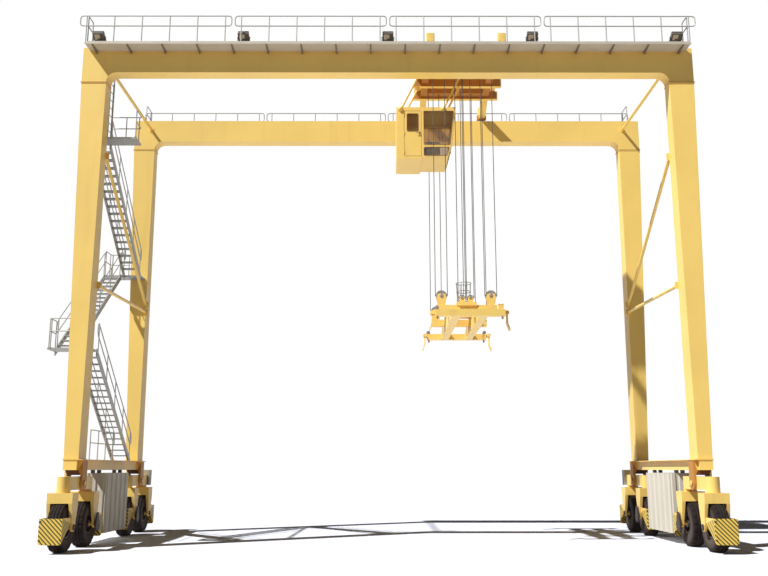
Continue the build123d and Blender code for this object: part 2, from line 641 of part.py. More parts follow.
def landings():
    """Stair landings at the front, at the rear and under the front girder."""
    near = FLIGHT_HALF_RUN
    wide = OUTER_LANE, INNER_LANE + LANE_WIDTH
    first = block(*wide, -LEG_INNER_Y, -near, LANDING_1 - LANDING_PLATE, LANDING_1)
    second = block(*wide, near, LEG_INNER_Y, LANDING_2 - LANDING_PLATE, LANDING_2)
    third = block(INNER_LANE, PLATFORM_INNER, -LEG_INNER_Y, -near, LANDING_3 - LANDING_PLATE, LANDING_3)
    return [first, second, third]


def level_rail(start, end, height, levels, posts, size):
    """Straight railing from one (x, y) to another: level rails above the floor, on posts."""
    half = size / 2
    (xa, ya), (xb, yb) = start, end
    box = (min(xa, xb) - half, max(xa, xb) + half, min(ya, yb) - half, max(ya, yb) + half)
    pieces = [block(*box, height + level, height + level + size) for level in levels]
    for index in range(posts):
        share = index / (posts - 1)
        x, y = xa + share * (xb - xa), ya + share * (yb - ya)
        pieces.append(block(x - half, x + half, y - half, y + half, height, height + max(levels)))
    return Part() + pieces


def landing_rail(start, end, height, posts=2):
    """Railing of the stairs' own bar on a landing or on the sill."""
    return level_rail(start, end, height, (HANDRAIL, KNEE_RAIL), posts, HAND_BAR)


def ladder():
    """Ladder from the top landing up behind the front girder."""
    half = LADDER_STILE / 2
    x0, x1 = LADDER_X - half, LADDER_X + half
    y0 = -LEG_INNER_Y + LADDER_STILE
    y1 = y0 + LADDER_WIDTH
    hold = GIRDER_BOTTOM + LADDER_STILE
    pieces = [block(x0, x1, y - half, y + half, LANDING_3, LADDER_TOP) for y in (y0, y1)]
    pieces.append(block(x0, x1, -LEG_INNER_Y, y0, hold, hold + LADDER_STILE))
    rung = LANDING_3 + RUNG_PITCH
    while rung < LADDER_TOP:
        pieces.append(bar((LADDER_X, y0, rung), (LADDER_X, y1, rung), RUNG_RADIUS))
        rung += RUNG_PITCH
    return Part() + pieces


def track_rail():
    """Front trolley rail on the girder's top."""
    half = TRACK_RAIL_WIDTH / 2
    return block(-TRACK_RAIL_HALF, TRACK_RAIL_HALF, -GIRDER_Y - half, half - GIRDER_Y,
                 GIRDER_TOP, TRACK_TOP)


def wheel_block(side_x, side_y):
    """Wheel block of the trolley at one corner, open above and below for its wheel."""
    x, y = TROLLEY_X + side_x * TROLLEY_BASE / 2, side_y * GIRDER_Y
    half = TROLLEY_WHEEL_WIDTH / 2 + BLOCK_GAP
    wide = half + BLOCK_WALL
    reach = TROLLEY_WHEEL_RADIUS + BLOCK_GAP
    long = reach + BLOCK_WALL
    outer = block(x - long, x + long, y - wide, y + wide,
                  TROLLEY_AXLE - BLOCK_BELOW, TROLLEY_AXLE + BLOCK_ABOVE)
    pocket = block(x - reach, x + reach, y - half, y + half, GIRDER_TOP, FRAME_TOP)
    axle = bar((x, y - wide, TROLLEY_AXLE), (x, y + wide, TROLLEY_AXLE), AXLE_STUB)
    return (outer - pocket) + axle


def long_beam(y):
    """Long beam of the trolley along the span, rounded at its ends and leaning in at the left one."""
    plan = Pos(TROLLEY_X, y) * RectangleRounded(2 * LONG_BEAM_HALF, LONG_BEAM_WIDTH, LONG_BEAM_ROUND)
    beam = Pos(0, 0, FRAME_BOTTOM) * extrude(plan, FRAME_DEPTH)
    left, half = TROLLEY_X - LONG_BEAM_HALF, LONG_BEAM_WIDTH / 2
    slant = [(left, FRAME_BOTTOM), (left + LONG_BEAM_SLANT, FRAME_TOP), (left, FRAME_TOP)]
    return beam - plate_xz(slant, y - half, y + half)


def cross_beam(x):
    """Cross beam of the trolley, with legs that spread down to the wheel blocks."""
    inboard = GIRDER_Y - TROLLEY_WHEEL_WIDTH / 2 - BLOCK_GAP - BLOCK_WALL
    low, high = TROLLEY_AXLE - BLOCK_BELOW, TROLLEY_AXLE + BLOCK_ABOVE
    arch = FRAME_TOP - CROSS_BEAM_DEPTH
    right = [(LONG_BEAM_OUT, FRAME_TOP), (inboard, high), (inboard, low), (inboard - LEG_FOOT, low),
             (LONG_BEAM_OUT, arch)]
    left = [(-y, z) for y, z in reversed(right)]
    return plate_yz(right + left, x - CROSS_BEAM_WIDTH / 2, x + CROSS_BEAM_WIDTH / 2)


def trolley_frame():
    """Trolley frame: long beams, cross beams on wheel blocks, a deck, and blocks for the rope ends."""
    pieces = [long_beam(y) for y in (LONG_BEAM_IN, LONG_BEAM_OUT, -LONG_BEAM_IN, -LONG_BEAM_OUT)]
    for side in (-1, 1):
        pieces.append(cross_beam(TROLLEY_X + side * TROLLEY_BASE / 2))
        pieces += [wheel_block(side, -1), wheel_block(side, 1)]
        pieces.append(block(TROLLEY_X - ROPE_BLOCK_HALF, TROLLEY_X + ROPE_BLOCK_HALF,
                            side * (SHEAVE_Y - ROPE_BLOCK_REACH), side * LONG_BEAM_OUT, ROPE_TOP, FRAME_TOP))
    pieces.append(block(CABLE_X - CABLE_ARM / 2, CABLE_X + CABLE_ARM / 2, LONG_BEAM_IN, LONG_BEAM_OUT,
                        ROPE_TOP, FRAME_TOP))
    side = LONG_BEAM_OUT + TROLLEY_DECK_LIP
    pieces.append(block(TROLLEY_X - TROLLEY_DECK_HALF, TROLLEY_X + TROLLEY_DECK_HALF, -side, side,
                        FRAME_TOP, DECK_TOP))
    return Part() + pieces


def trolley_wheels():
    """The four rail wheels of the trolley, each bored for its axle."""
    half = TROLLEY_WHEEL_WIDTH / 2
    wheels = []
    for x in (TROLLEY_X - TROLLEY_BASE / 2, TROLLEY_X + TROLLEY_BASE / 2):
        for y in (-GIRDER_Y, GIRDER_Y):
            ends = (x, y - half, TROLLEY_AXLE), (x, y + half, TROLLEY_AXLE)
            wheels.append(bar(*ends, TROLLEY_WHEEL_RADIUS) - bar(*ends, AXLE_STUB + FIT))
    return wheels


def hoist_machinery():
    """Hoist drum on two pedestals, with a gearbox and a motor, on the trolley's deck."""
    axis = DECK_TOP + DRUM_RADIUS + DRUM_LIFT
    half = DRUM_LENGTH / 2
    pieces = [bar((TROLLEY_X, -half, axis), (TROLLEY_X, half, axis), DRUM_RADIUS)]
    outline = [(TROLLEY_X - DRUM_RADIUS, DECK_TOP), (TROLLEY_X + DRUM_RADIUS, DECK_TOP),
               (TROLLEY_X + DRUM_RADIUS / 2, axis + DRUM_RADIUS / 2),
               (TROLLEY_X - DRUM_RADIUS / 2, axis + DRUM_RADIUS / 2)]
    pieces += [plate_xz(outline, -half - PEDESTAL, -half), plate_xz(outline, half, half + PEDESTAL)]
    motor = TROLLEY_X - SHEAVE_X
    pieces.append(bar((motor, -half, axis), (motor, 0, axis), MOTOR_RADIUS))
    pieces.append(block(TROLLEY_X - GEARBOX_WIDTH, TROLLEY_X, -half - PEDESTAL, -half,
                        DECK_TOP, axis + GEARBOX_RISE))
    return Part() + pieces


def cab_outline():
    """Side outline of the cab, with a raked windscreen and a stepped skirt."""
    return make_face(Polyline((CAB_BACK, CAB_FLOOR), (CAB_SKIRT_END, CAB_FLOOR), (CAB_SKIRT_END, CAB_TOE_Z),
                              (CAB_TOE_X, CAB_TOE_Z), (CAB_KINK_X, CAB_KINK_Z), (CAB_ROOF_FRONT, CAB_ROOF),
                              (CAB_BACK, CAB_ROOF), close=True))


def screen_x(z):
    """X of the cab's front face at a height."""
    if z > CAB_KINK_Z:
        return CAB_KINK_X + (z - CAB_KINK_Z) / (CAB_ROOF - CAB_KINK_Z) * (CAB_ROOF_FRONT - CAB_KINK_X)
    return CAB_TOE_X + (z - CAB_TOE_Z) / (CAB_KINK_Z - CAB_TOE_Z) * (CAB_KINK_X - CAB_TOE_X)


def side_window(bottom, top, shrink):
    """Window outline in the cab's side, following the raked front, made smaller by shrink."""
    front = -SCREEN_FRAME
    return make_face(Polyline((SIDE_GLASS_LEFT + shrink, bottom + shrink),
                              (screen_x(bottom) + front - shrink, bottom + shrink),
                              (screen_x(top) + front - shrink, top - shrink),
                              (SIDE_GLASS_LEFT + shrink, top - shrink), close=True))


def across(face, y0, y1):
    """Extrude an outline of the XZ plane from y0 to y1."""
    return extrude(Plane(origin=(0, y1, 0), x_dir=(1, 0, 0), z_dir=(0, -1, 0)) * face, y1 - y0)


def screen_strip(bottom, top, inset, shrink):
    """Strip of the raked front between two heights, from inset behind the face to its thickness."""
    low, high = screen_x(bottom + shrink), screen_x(top - shrink)
    return make_face(Polyline((low - inset - CAB_GLASS, bottom + shrink), (low - inset, bottom + shrink),
                              (high - inset, top - shrink), (high - inset - CAB_GLASS, top - shrink),
                              close=True))


def cab_windows():
    """Side and front window heights, as (bottom, top)."""
    return (SIDE_GLASS_BOTTOM, SIDE_GLASS_TOP), (LOW_GLASS_BOTTOM, LOW_GLASS_TOP)


def cab_shell():
    """Hollow cab with its floor, and openings for the windows and the door."""
    half = CAB_HALF_DEPTH
    shell = across(cab_outline(), -half, half)
    room = across(offset(cab_outline(), -CAB_WALL), CAB_WALL - half, half - CAB_WALL)
    room &= block(0, 2 * CAB_ROOF_FRONT, -half, half, LOW_GLASS_BOTTOM, CAB_ROOF)
    shell -= room
    for bottom, top in cab_windows():
        shell -= across(side_window(bottom, top, 0), -half, half)
        screen = make_face(Polyline((CAB_TOE_X - CAB_WALL, bottom), (2 * CAB_ROOF_FRONT, bottom),
                                    (2 * CAB_ROOF_FRONT, top), (CAB_TOE_X - CAB_WALL, top), close=True))
        shell -= across(screen, SCREEN_FRAME - half, half - SCREEN_FRAME)
    shell -= block(DOOR_LEFT, DOOR_RIGHT, -half, CAB_WALL - half, DOOR_BOTTOM, DOOR_TOP)
    return shell


def cab_door():
    """Cab door in its opening, with a window."""
    half = CAB_HALF_DEPTH
    leaf = block(DOOR_LEFT + SEAT, DOOR_RIGHT - SEAT, -half, CAB_WALL - half,
                 DOOR_BOTTOM + SEAT, DOOR_TOP - SEAT)
    return leaf - block(DOOR_LEFT + DOOR_FRAME, DOOR_RIGHT - DOOR_FRAME, -half, CAB_WALL - half,
                        DOOR_WINDOW_BOTTOM, DOOR_TOP - DOOR_FRAME)


def cab_glazing():
    """All panes of the cab, in the middle of its walls."""
    half = CAB_HALF_DEPTH
    inset = (CAB_WALL - CAB_GLASS) / 2
    panes = []
    for bottom, top in cab_windows():
        for y in (-half + inset, half - inset - CAB_GLASS):
            panes.append(across(side_window(bottom, top, SEAT), y, y + CAB_GLASS))
        panes.append(across(screen_strip(bottom, top, inset, SEAT), SCREEN_FRAME - half + SEAT,
                            half - SCREEN_FRAME - SEAT))
    panes.append(block(DOOR_LEFT + DOOR_FRAME + SEAT, DOOR_RIGHT - DOOR_FRAME - SEAT, inset - half,
                       inset - half + CAB_GLASS, DOOR_WINDOW_BOTTOM + SEAT, DOOR_TOP - DOOR_FRAME - SEAT))
    return panes


def cab_struts():
    """Four leaning tubes that hang the cab under the trolley's inner long beams, each on a round lug."""
    slope = STRUT_LEAN / (FRAME_BOTTOM - CAB_ROOF)
    over = STRUT_RADIUS
    struts = []
    for x in (STRUT_REAR, STRUT_FRONT):
        for y in (-LONG_BEAM_IN, LONG_BEAM_IN):
            tube = bar((x - slope * over, y, CAB_ROOF - over),
                       (x + STRUT_LEAN + slope * over, y, FRAME_BOTTOM + over), STRUT_RADIUS)
            reach = STRUT_LEAN + LUG_RADIUS
            gap = block(x - reach, x + reach, y - LUG_RADIUS, y + LUG_RADIUS, CAB_ROOF, FRAME_BOTTOM)
            struts.append((Pos(x, y, CAB_ROOF) * Sphere(LUG_RADIUS) + tube) & gap)
    return struts


def spreader_frame():
    """Spreader: two main beams along the travel, two end beams with twistlocks and flipper hinges."""
    end_y, half = SPREADER_LENGTH / 2, SPREADER_WIDTH / 2
    inner_y = end_y - END_BEAM_WIDTH
    top = SPREADER_BOTTOM + END_BEAM_HEIGHT
    pieces = []
    for side in (-1, 1):
        pieces.append(block(TROLLEY_X - half, TROLLEY_X + half, side * inner_y, side * end_y,
                            SPREADER_BOTTOM, top))
        x = TROLLEY_X + side * MAIN_BEAM_X
        pieces.append(block(x - MAIN_BEAM_WIDTH / 2, x + MAIN_BEAM_WIDTH / 2, -inner_y, inner_y,
                            SPREADER_BOTTOM, HEADBLOCK_BOTTOM))
        for other in (-1, 1):
            x, y = TROLLEY_X + side * TWISTLOCK_PITCH_X / 2, other * TWISTLOCK_PITCH_Y / 2
            pieces.append(bar((x, y, SPREADER_BOTTOM - TWISTLOCK_LENGTH), (x, y, SPREADER_BOTTOM),
                              TWISTLOCK_RADIUS))
            pieces += flipper_hinge(side, other)
    x, y = TROLLEY_X + JUNCTION_BOX_X, -end_y + END_BEAM_WIDTH / 2
    box = JUNCTION_BOX / 2
    pieces.append(block(x - box, x + box, y - box, y + box, top, top + JUNCTION_BOX_HEIGHT))
    return Part() + pieces


def flipper_hinge(side_x, side_y):
    """Two lugs and a pin on the end of an end beam."""
    root = TROLLEY_X + side_x * SPREADER_WIDTH / 2
    axis = root + side_x * FLIPPER_OFFSET
    half = FLIPPER_WIDTH / 2 + SEAT
    y0, y1 = side_y * FLIPPER_Y - half, side_y * FLIPPER_Y + half
    lug = 2 * FLIPPER_PIN
    lugs = [block(root, axis + side_x * lug, y, y + FLIPPER_LUG, FLIPPER_AXIS - lug, FLIPPER_AXIS + lug)
            for y in (y0 - FLIPPER_LUG, y1)]
    pin = bar((axis, y0 - FLIPPER_LUG, FLIPPER_AXIS), (axis, y1 + FLIPPER_LUG, FLIPPER_AXIS), FLIPPER_PIN)
    return [*lugs, pin]


def flipper(side_x, side_y):
    """Guide arm hanging from its hinge, bent outward at the tip."""
    axis = TROLLEY_X + side_x * (SPREADER_WIDTH / 2 + FLIPPER_OFFSET)
    half = FLIPPER_WIDTH / 2
    y0, y1 = side_y * FLIPPER_Y - half, side_y * FLIPPER_Y + half
    inner = axis - side_x * FLIPPER_PLATE / 2
    outer = axis + side_x * FLIPPER_PLATE / 2
    knee, tip = FLIPPER_AXIS - FLIPPER_KNEE, FLIPPER_AXIS - FLIPPER_LENGTH
    flare = side_x * FLIPPER_FLARE
    outline = [(inner, FLIPPER_AXIS), (inner, knee), (inner + flare, tip), (outer + flare, tip),
               (outer, knee), (outer, FLIPPER_AXIS)]
    ends = (axis, y0, FLIPPER_AXIS), (axis, y1, FLIPPER_AXIS)
    arm = plate_xz(outline, y0, y1) + bar(*ends, 2 * FLIPPER_PIN - SEAT)
    return arm - bar(*ends, FLIPPER_PIN + FIT)


def headblock():
    """Headblock: cross beams with the corner sheaves, a table of middle sheaves and one for the basket."""
    half = HEADBLOCK_BEAM / 2
    reach = SHEAVE_X + SHEAVE_RADIUS
    pieces = []
    for y in (-SHEAVE_Y, SHEAVE_Y):
        pieces.append(block(TROLLEY_X - reach, TROLLEY_X + reach, y - half, y + half,
                            HEADBLOCK_BOTTOM, HEADBLOCK_TOP))
        for x in (TROLLEY_X - SHEAVE_X, TROLLEY_X + SHEAVE_X):
            pieces += sheave_cheeks(x, y, SHEAVE_HEIGHT, SHEAVE_RADIUS, HEADBLOCK_TOP)
    long = SHEAVE_Y - half
    for side in (-1, 1):
        x = TROLLEY_X + side * MAIN_BEAM_X
        pieces.append(block(x - half, x + half, -long, long, HEADBLOCK_BOTTOM, HEADBLOCK_TOP))
        pieces += sheave_cheeks(TROLLEY_X + side * MID_SHEAVE_X, -SHEAVE_Y, MID_SHEAVE_HEIGHT,
                                MID_SHEAVE_RADIUS, MID_TABLE_TOP)
    pieces.append(block(TROLLEY_X - MID_TABLE_HALF, TROLLEY_X + MID_TABLE_HALF,
                        -SHEAVE_Y - half - MID_TABLE_LIP, half - SHEAVE_Y,
                        MID_TABLE_TOP - MID_TABLE_PLATE, MID_TABLE_TOP))
    pieces.append(block(TROLLEY_X - MAIN_BEAM_X, TROLLEY_X + MAIN_BEAM_X, BASKET_Y - BASKET_TABLE,
                        BASKET_Y + BASKET_TABLE, HEADBLOCK_TOP - CHEEK, HEADBLOCK_TOP))
    return Part() + pieces


def sheave_cheeks(x, y, height, radius, base):
    """Two pear-shaped cheek plates and an axle for a sheave, standing on a base."""
    shoulder, waist = height + radius * CHEEK_SHOULDER, height - radius * CHEEK_SHOULDER
    wide, narrow = radius * CHEEK_WAIST, radius * CHEEK_FOOT
    outline = [(x - narrow, base), (x + narrow, base), (x + wide, waist), (x + narrow, shoulder),
               (x - narrow, shoulder), (x - wide, waist)]
    gap = SHEAVE_WIDTH / 2 + SEAT
    plates = [plate_xz(outline, y - gap - CHEEK, y - gap), plate_xz(outline, y + gap, y + gap + CHEEK)]
    axle = bar((x, y - gap - CHEEK, height), (x, y + gap + CHEEK, height), SHEAVE_AXLE)
    return [*plates, axle]


def sheave(x, y, height, radius):
    """Grooved rope sheave about an axis along Y."""
    half, bore = SHEAVE_WIDTH / 2, SHEAVE_AXLE + FIT
    outline = [(-half, bore), (half, bore), (half, radius), (0, radius - GROOVE), (-half, radius)]
    turned = revolve(make_face(Polyline(*outline, close=True)), Axis.X)
    return Pos(x, y, height) * Rot(0, 0, 90) * turned


def sheave_places():
    """Place, height and radius of every sheave of the headblock, as (x, y, height, radius)."""
    corner = [(TROLLEY_X + side * SHEAVE_X, y, SHEAVE_HEIGHT, SHEAVE_RADIUS)
              for side in (-1, 1) for y in (-SHEAVE_Y, SHEAVE_Y)]
    middle = [(TROLLEY_X + side * MID_SHEAVE_X, -SHEAVE_Y, MID_SHEAVE_HEIGHT, MID_SHEAVE_RADIUS)
              for side in (-1, 1)]
    return corner + middle


def rope_sheaves():
    """All sheaves of the headblock."""
    return [sheave(*place) for place in sheave_places()]


def ropes():
    """Rope falls from the trolley down to both sides of each sheave, and the cable into the basket."""
    top = ROPE_TOP - SEAT
    falls = []
    for x, y, height, radius in sheave_places():
        for edge in (-1, 1):
            fall = x + edge * (radius + ROPE_RADIUS + SEAT)
            falls.append(bar((fall, y, height), (fall, y, top), ROPE_RADIUS))
    falls.append(bar((CABLE_X, BASKET_Y, HEADBLOCK_TOP + SEAT), (CABLE_X, BASKET_Y, top), ROPE_RADIUS))
    return falls


def cable_basket():
    """Round open basket of bars that takes the spreader's cable, wider at its top."""
    pieces = []
    for index in range(BASKET_WIRES):
        turn = radians(360 * (index + 0.5) / BASKET_WIRES)
        foot, rim_edge = BASKET_FOOT - BASKET_BAR / 2, BASKET_RADIUS - BASKET_BAR / 2
        start = (CABLE_X + foot * cos(turn), BASKET_Y + foot * sin(turn), HEADBLOCK_TOP - CHEEK)
        end = (CABLE_X + rim_edge * cos(turn), BASKET_Y + rim_edge * sin(turn), BASKET_TOP - BASKET_BAR / 2)
        pieces.append(bar(start, end, BASKET_BAR / 2))
    for index in range(BASKET_RINGS):
        share = (index + 1) / BASKET_RINGS
        z = HEADBLOCK_TOP + share * (BASKET_TOP - HEADBLOCK_TOP)
        radius = BASKET_FOOT + share * (BASKET_RADIUS - BASKET_FOOT)
        hoop = Circle(radius) - Circle(radius - BASKET_BAR)
        pieces.append(Pos(CABLE_X, BASKET_Y, z - BASKET_BAR) * extrude(hoop, BASKET_BAR))
    return Part() + pieces


os.makedirs("parts", exist_ok=True)

save("front_girder", girder())
save("rear_girder", mirror(girder(), about=Plane.XZ))
save("trolley_rails", *in_y(track_rail()))
save("front_legs", *in_x(leg()))
save("rear_legs", *in_x(mirror(leg(), about=Plane.XZ)))
save("sill_beams", *in_x(sill()))
save("machinery_houses", *in_x(machinery_house()))
save("frame_braces", *in_x(side_brace(BRACE_LOW_REAR, BRACE_LOW_FRONT)),
     *in_x(side_brace(BRACE_HIGH_REAR, BRACE_HIGH_FRONT)), *in_x(girder_tie()))
save("front_walkway", walkway(WALK_WIDTH))
save("rear_walkway", mirror(walkway(REAR_WALK_WIDTH), about=Plane.XZ))
save("front_railing", *railing(WALK_WIDTH))
save("rear_railing", *[mirror(panel, about=Plane.XZ) for panel in railing(REAR_WALK_WIDTH)])
save("floodlights", *floodlights())

# Stair flights zigzag between the legs of the left side
FLIGHTS = {
    "lower_stair": (INNER_LANE, (FLIGHT_HALF_RUN, SILL_TOP), (-FLIGHT_HALF_RUN, LANDING_1)),
    "middle_stair": (OUTER_LANE, (-FLIGHT_HALF_RUN, LANDING_1), (FLIGHT_HALF_RUN, LANDING_2)),
    "upper_stair": (INNER_LANE, (FLIGHT_HALF_RUN, LANDING_2), (-FLIGHT_HALF_RUN, LANDING_3)),
}
for name, (lane, start, end) in FLIGHTS.items():
    save(name, flight(lane, start, end))
save("stair_landings", *landings())
rail_edge = HAND_BAR / 2
clear = HAND_BAR + SEAT
left_edge, right_edge = OUTER_LANE + rail_edge, INNER_LANE + LANE_WIDTH - rail_edge
front_edge, rear_edge = rail_edge - LEG_INNER_Y + SEAT, LEG_INNER_Y - rail_edge - SEAT
near_edge = FLIGHT_HALF_RUN + rail_edge
top_edge = PLATFORM_INNER - rail_edge
save("stair_railings",
     *[rail for flight_place in FLIGHTS.values() for rail in flight_rail(*flight_place)],
     landing_rail((left_edge, -near_edge), (left_edge, front_edge), LANDING_1),
     landing_rail((left_edge + clear, front_edge), (INNER_LANE, front_edge), LANDING_1),
     landing_rail((left_edge, near_edge), (left_edge, rear_edge), LANDING_2),
     landing_rail((left_edge + clear, rear_edge), (INNER_LANE, rear_edge), LANDING_2),
     landing_rail((right_edge, -near_edge), (top_edge - clear, -near_edge), LANDING_3),
     landing_rail((top_edge, -near_edge), (top_edge, front_edge), LANDING_3),
     landing_rail((-SILL_X, SILL_RAIL_FRONT), (-SILL_X, SILL_RAIL_REAR), SILL_TOP, SILL_RAIL_POSTS))
save("access_ladder", ladder())

# Running gear, one set for each corner and wheel
CORNERS = {"front_left": (-1, -1), "front_right": (1, -1), "rear_left": (-1, 1), "rear_right": (1, 1)}
for corner, (side_x, side_y) in CORNERS.items():
    beam = equaliser()
    if side_y > 0:
        beam += control_box()
    if side_x < 0:
        beam = mirror(beam, about=Plane.YZ)
    if side_y > 0:
        beam = mirror(beam, about=Plane.XZ)
    save(f"{corner}_equaliser", beam)
    for place, offset_y, turn in (("outer", WHEEL_PITCH / 2, 0), ("inner", -WHEEL_PITCH / 2, 180)):
        x, y = side_x * WHEEL_X, side_y * (PIVOT_Y + offset_y)
        heading = turn + (180 if side_y > 0 else 0)
        save(f"{corner}_{place}_fork", Pos(x, y, 0) * Rot(0, 0, heading) * fork())
        save(f"{corner}_{place}_tyre", Pos(x, y, TYRE_RADIUS) * tyre())
        save(f"{corner}_{place}_rim", Pos(x, y, TYRE_RADIUS) * rim())

save("trolley_frame", trolley_frame())
save("trolley_wheels", *trolley_wheels())
save("hoist_machinery", hoist_machinery())
save("cab_shell", cab_shell())
save("cab_door", cab_door())
save("cab_glazing", *cab_glazing())
save("cab_struts", *cab_struts())
save("hoist_ropes", *ropes())
save("spreader_frame", spreader_frame())
save("headblock", headblock() + cable_basket())
save("rope_sheaves", *rope_sheaves())
save("left_flippers", flipper(-1, -1), flipper(-1, 1))
save("right_flippers", flipper(1, -1), flipper(1, 1))
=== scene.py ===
# Looks of a rubber tyred gantry crane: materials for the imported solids, and tyre treads, round
# railings, gratings, ropes, lamps, covers, bolts and cab fittings as pieces of their own.
import json
from math import cos, hypot, pi, radians, sin

import bmesh
import bpy
from mathutils import Matrix, Vector


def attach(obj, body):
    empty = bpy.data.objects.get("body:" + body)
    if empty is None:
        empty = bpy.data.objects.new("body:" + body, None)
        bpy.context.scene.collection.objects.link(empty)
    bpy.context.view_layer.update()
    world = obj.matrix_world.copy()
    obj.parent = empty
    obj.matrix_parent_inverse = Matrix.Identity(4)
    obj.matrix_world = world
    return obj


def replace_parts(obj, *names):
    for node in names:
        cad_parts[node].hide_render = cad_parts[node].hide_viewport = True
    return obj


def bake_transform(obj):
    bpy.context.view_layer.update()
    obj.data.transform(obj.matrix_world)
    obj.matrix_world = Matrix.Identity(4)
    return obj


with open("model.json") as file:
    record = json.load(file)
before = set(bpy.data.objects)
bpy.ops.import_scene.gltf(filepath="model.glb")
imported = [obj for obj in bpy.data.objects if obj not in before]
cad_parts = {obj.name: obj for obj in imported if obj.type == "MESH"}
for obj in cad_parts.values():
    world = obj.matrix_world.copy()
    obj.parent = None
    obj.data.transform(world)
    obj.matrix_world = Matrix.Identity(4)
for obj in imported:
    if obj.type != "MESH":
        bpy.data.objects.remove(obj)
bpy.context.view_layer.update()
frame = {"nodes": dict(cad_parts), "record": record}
nodes = frame["nodes"]
scene = bpy.context.scene
scene.view_settings.view_transform = "Standard"

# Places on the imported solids, in metres
CORNERS = {"front_left": (-1, -1), "front_right": (1, -1), "rear_left": (-1, 1), "rear_right": (1, 1)}
WHEEL_X, AXLE_Z = 10.25, 0.75
PIVOT_Y, PIVOT_Z = 3.5285, 2.09                 # pin of an equaliser
HALF_PITCH = 1.055                              # from that pin to the wheels before and behind it
SILL_X, SILL_TOP = 10.3125, 2.85
LANDINGS = (6.604, 10.363, 14.224)              # heights along the stair
GIRDER_Y, GIRDER_TOP = 3.416, 17.41
DECK = 17.31                                    # top of the walkways
TROLLEY_X, HALF_BASE = 2.85, 1.3                # middle of the trolley, and half its wheel base
BLOCK_TOP = 17.7503                             # top of the trolley's wheel blocks
DRUM_Z = 18.67
ROPE_TOP = 17.9897
SHEAVE_X, SHEAVE_Y, SHEAVE_Z = 0.9, 1.63, 8.7   # corner sheaves of the headblock
MIDDLE_X, MIDDLE_Z = 0.155, 8.62                # middle sheaves
CHEEK = 0.0753                                  # from a sheave's middle to the outside of its cheek
BASKET_X, BASKET_Y, CABLE_END = 2.99, 0.82, 8.3503
CAB_SIDE = 0.914                                # outside of the cab's walls
CAB_FRONT = ((14.31, 2.336), (14.8, 2.478), (16.32, 2.65))  # height and X along the raked front
CAB_PANES = ((14.79, 16.166), (14.35, 14.69))   # lower and upper edge of the tall and the low panes

# Strength of the light
SUN = 5.4
SKY = 0.05
GROUND_LIGHT = 1250


# Camera, light and floor

def set_camera():
    """Camera at the photograph's place, looking a little up."""
    pitch, yaw = 0.20179, -0.00166
    lens = bpy.data.cameras.new("camera")
    lens.sensor_width = 36
    lens.lens = 41.388
    lens.clip_end = 1000
    eye = bpy.data.objects.new("camera", lens)
    eye.location = (-0.189, -33.147, 2.551)
    eye.rotation_euler = (pi / 2 + pitch, 0, yaw)
    scene.collection.objects.link(eye)
    scene.camera = eye


def seen_directly(tree):
    """1 for rays from the camera, mirror reflections and glass, and 0 for all other rays."""
    rays = tree.nodes.new("ShaderNodeLightPath")
    last = rays.outputs["Is Camera Ray"]
    for name in ("Is Glossy Ray", "Is Transmission Ray"):
        larger = tree.nodes.new("ShaderNodeMath")
        larger.operation = "MAXIMUM"
        tree.links.new(last, larger.inputs[0])
        tree.links.new(rays.outputs[name], larger.inputs[1])
        last = larger.outputs[0]
    return last


def background(tree, colour, strength):
    """One background shader of the world."""
    shader = tree.nodes.new("ShaderNodeBackground")
    shader.inputs["Color"].default_value = (*colour, 1)
    shader.inputs["Strength"].default_value = strength
    return shader


def dull(tree, colour):
    """One plain diffuse shader of the floor."""
    shader = tree.nodes.new("ShaderNodeBsdfDiffuse")
    shader.inputs["Color"].default_value = (*colour, 1)
    return shader


def mix_by_ray(tree, output, hidden, seen):
    """Give the camera one shader and all light bouncing about another."""
    tree.nodes.clear()
    end = tree.nodes.new(output)
    mix = tree.nodes.new("ShaderNodeMixShader")
    tree.links.new(seen_directly(tree), mix.inputs["Fac"])
    tree.links.new(hidden(tree).outputs[0], mix.inputs[1])
    tree.links.new(seen(tree).outputs[0], mix.inputs[2])
    tree.links.new(mix.outputs[0], end.inputs["Surface"])


def set_world():
    """A weak even sky that lights the object, and plain white behind it."""
    world = bpy.data.worlds.new("studio")
    scene.world = world
    world.use_nodes = True
    mix_by_ray(world.node_tree, "ShaderNodeOutputWorld",
               lambda tree: background(tree, (0.95, 0.97, 1.0), SKY),
               lambda tree: background(tree, (1, 1, 1), 1.0))


def new_lamp(name, kind, energy, colour):
    """A lamp linked to the scene, as its data and its object."""
    lamp = bpy.data.lights.new(name, kind)
    lamp.energy = energy
    lamp.color = colour
    item = bpy.data.objects.new(name, lamp)
    scene.collection.objects.link(item)
    return lamp, item


def set_lamps():
    """Sun from the upper left in front, and soft light from the ground."""
    lamp, sun = new_lamp("sun", "SUN", SUN, (1.0, 0.975, 0.93))
    lamp.angle = radians(0.9)
    sun.rotation_euler = Vector((0.55, 0.35, -0.758)).to_track_quat("-Z", "Y").to_euler()

    lamp, ground = new_lamp("ground_light", "AREA", GROUND_LIGHT, (1.0, 0.98, 0.95))
    lamp.shape = "RECTANGLE"
    lamp.size, lamp.size_y = 34, 26
    lamp.spread = radians(60)
    ground.location = (0, 0, 0.01)
    ground.rotation_euler = (pi, 0, 0)
    ground.visible_camera = False
    ground.visible_glossy = False
    ground.visible_transmission = False


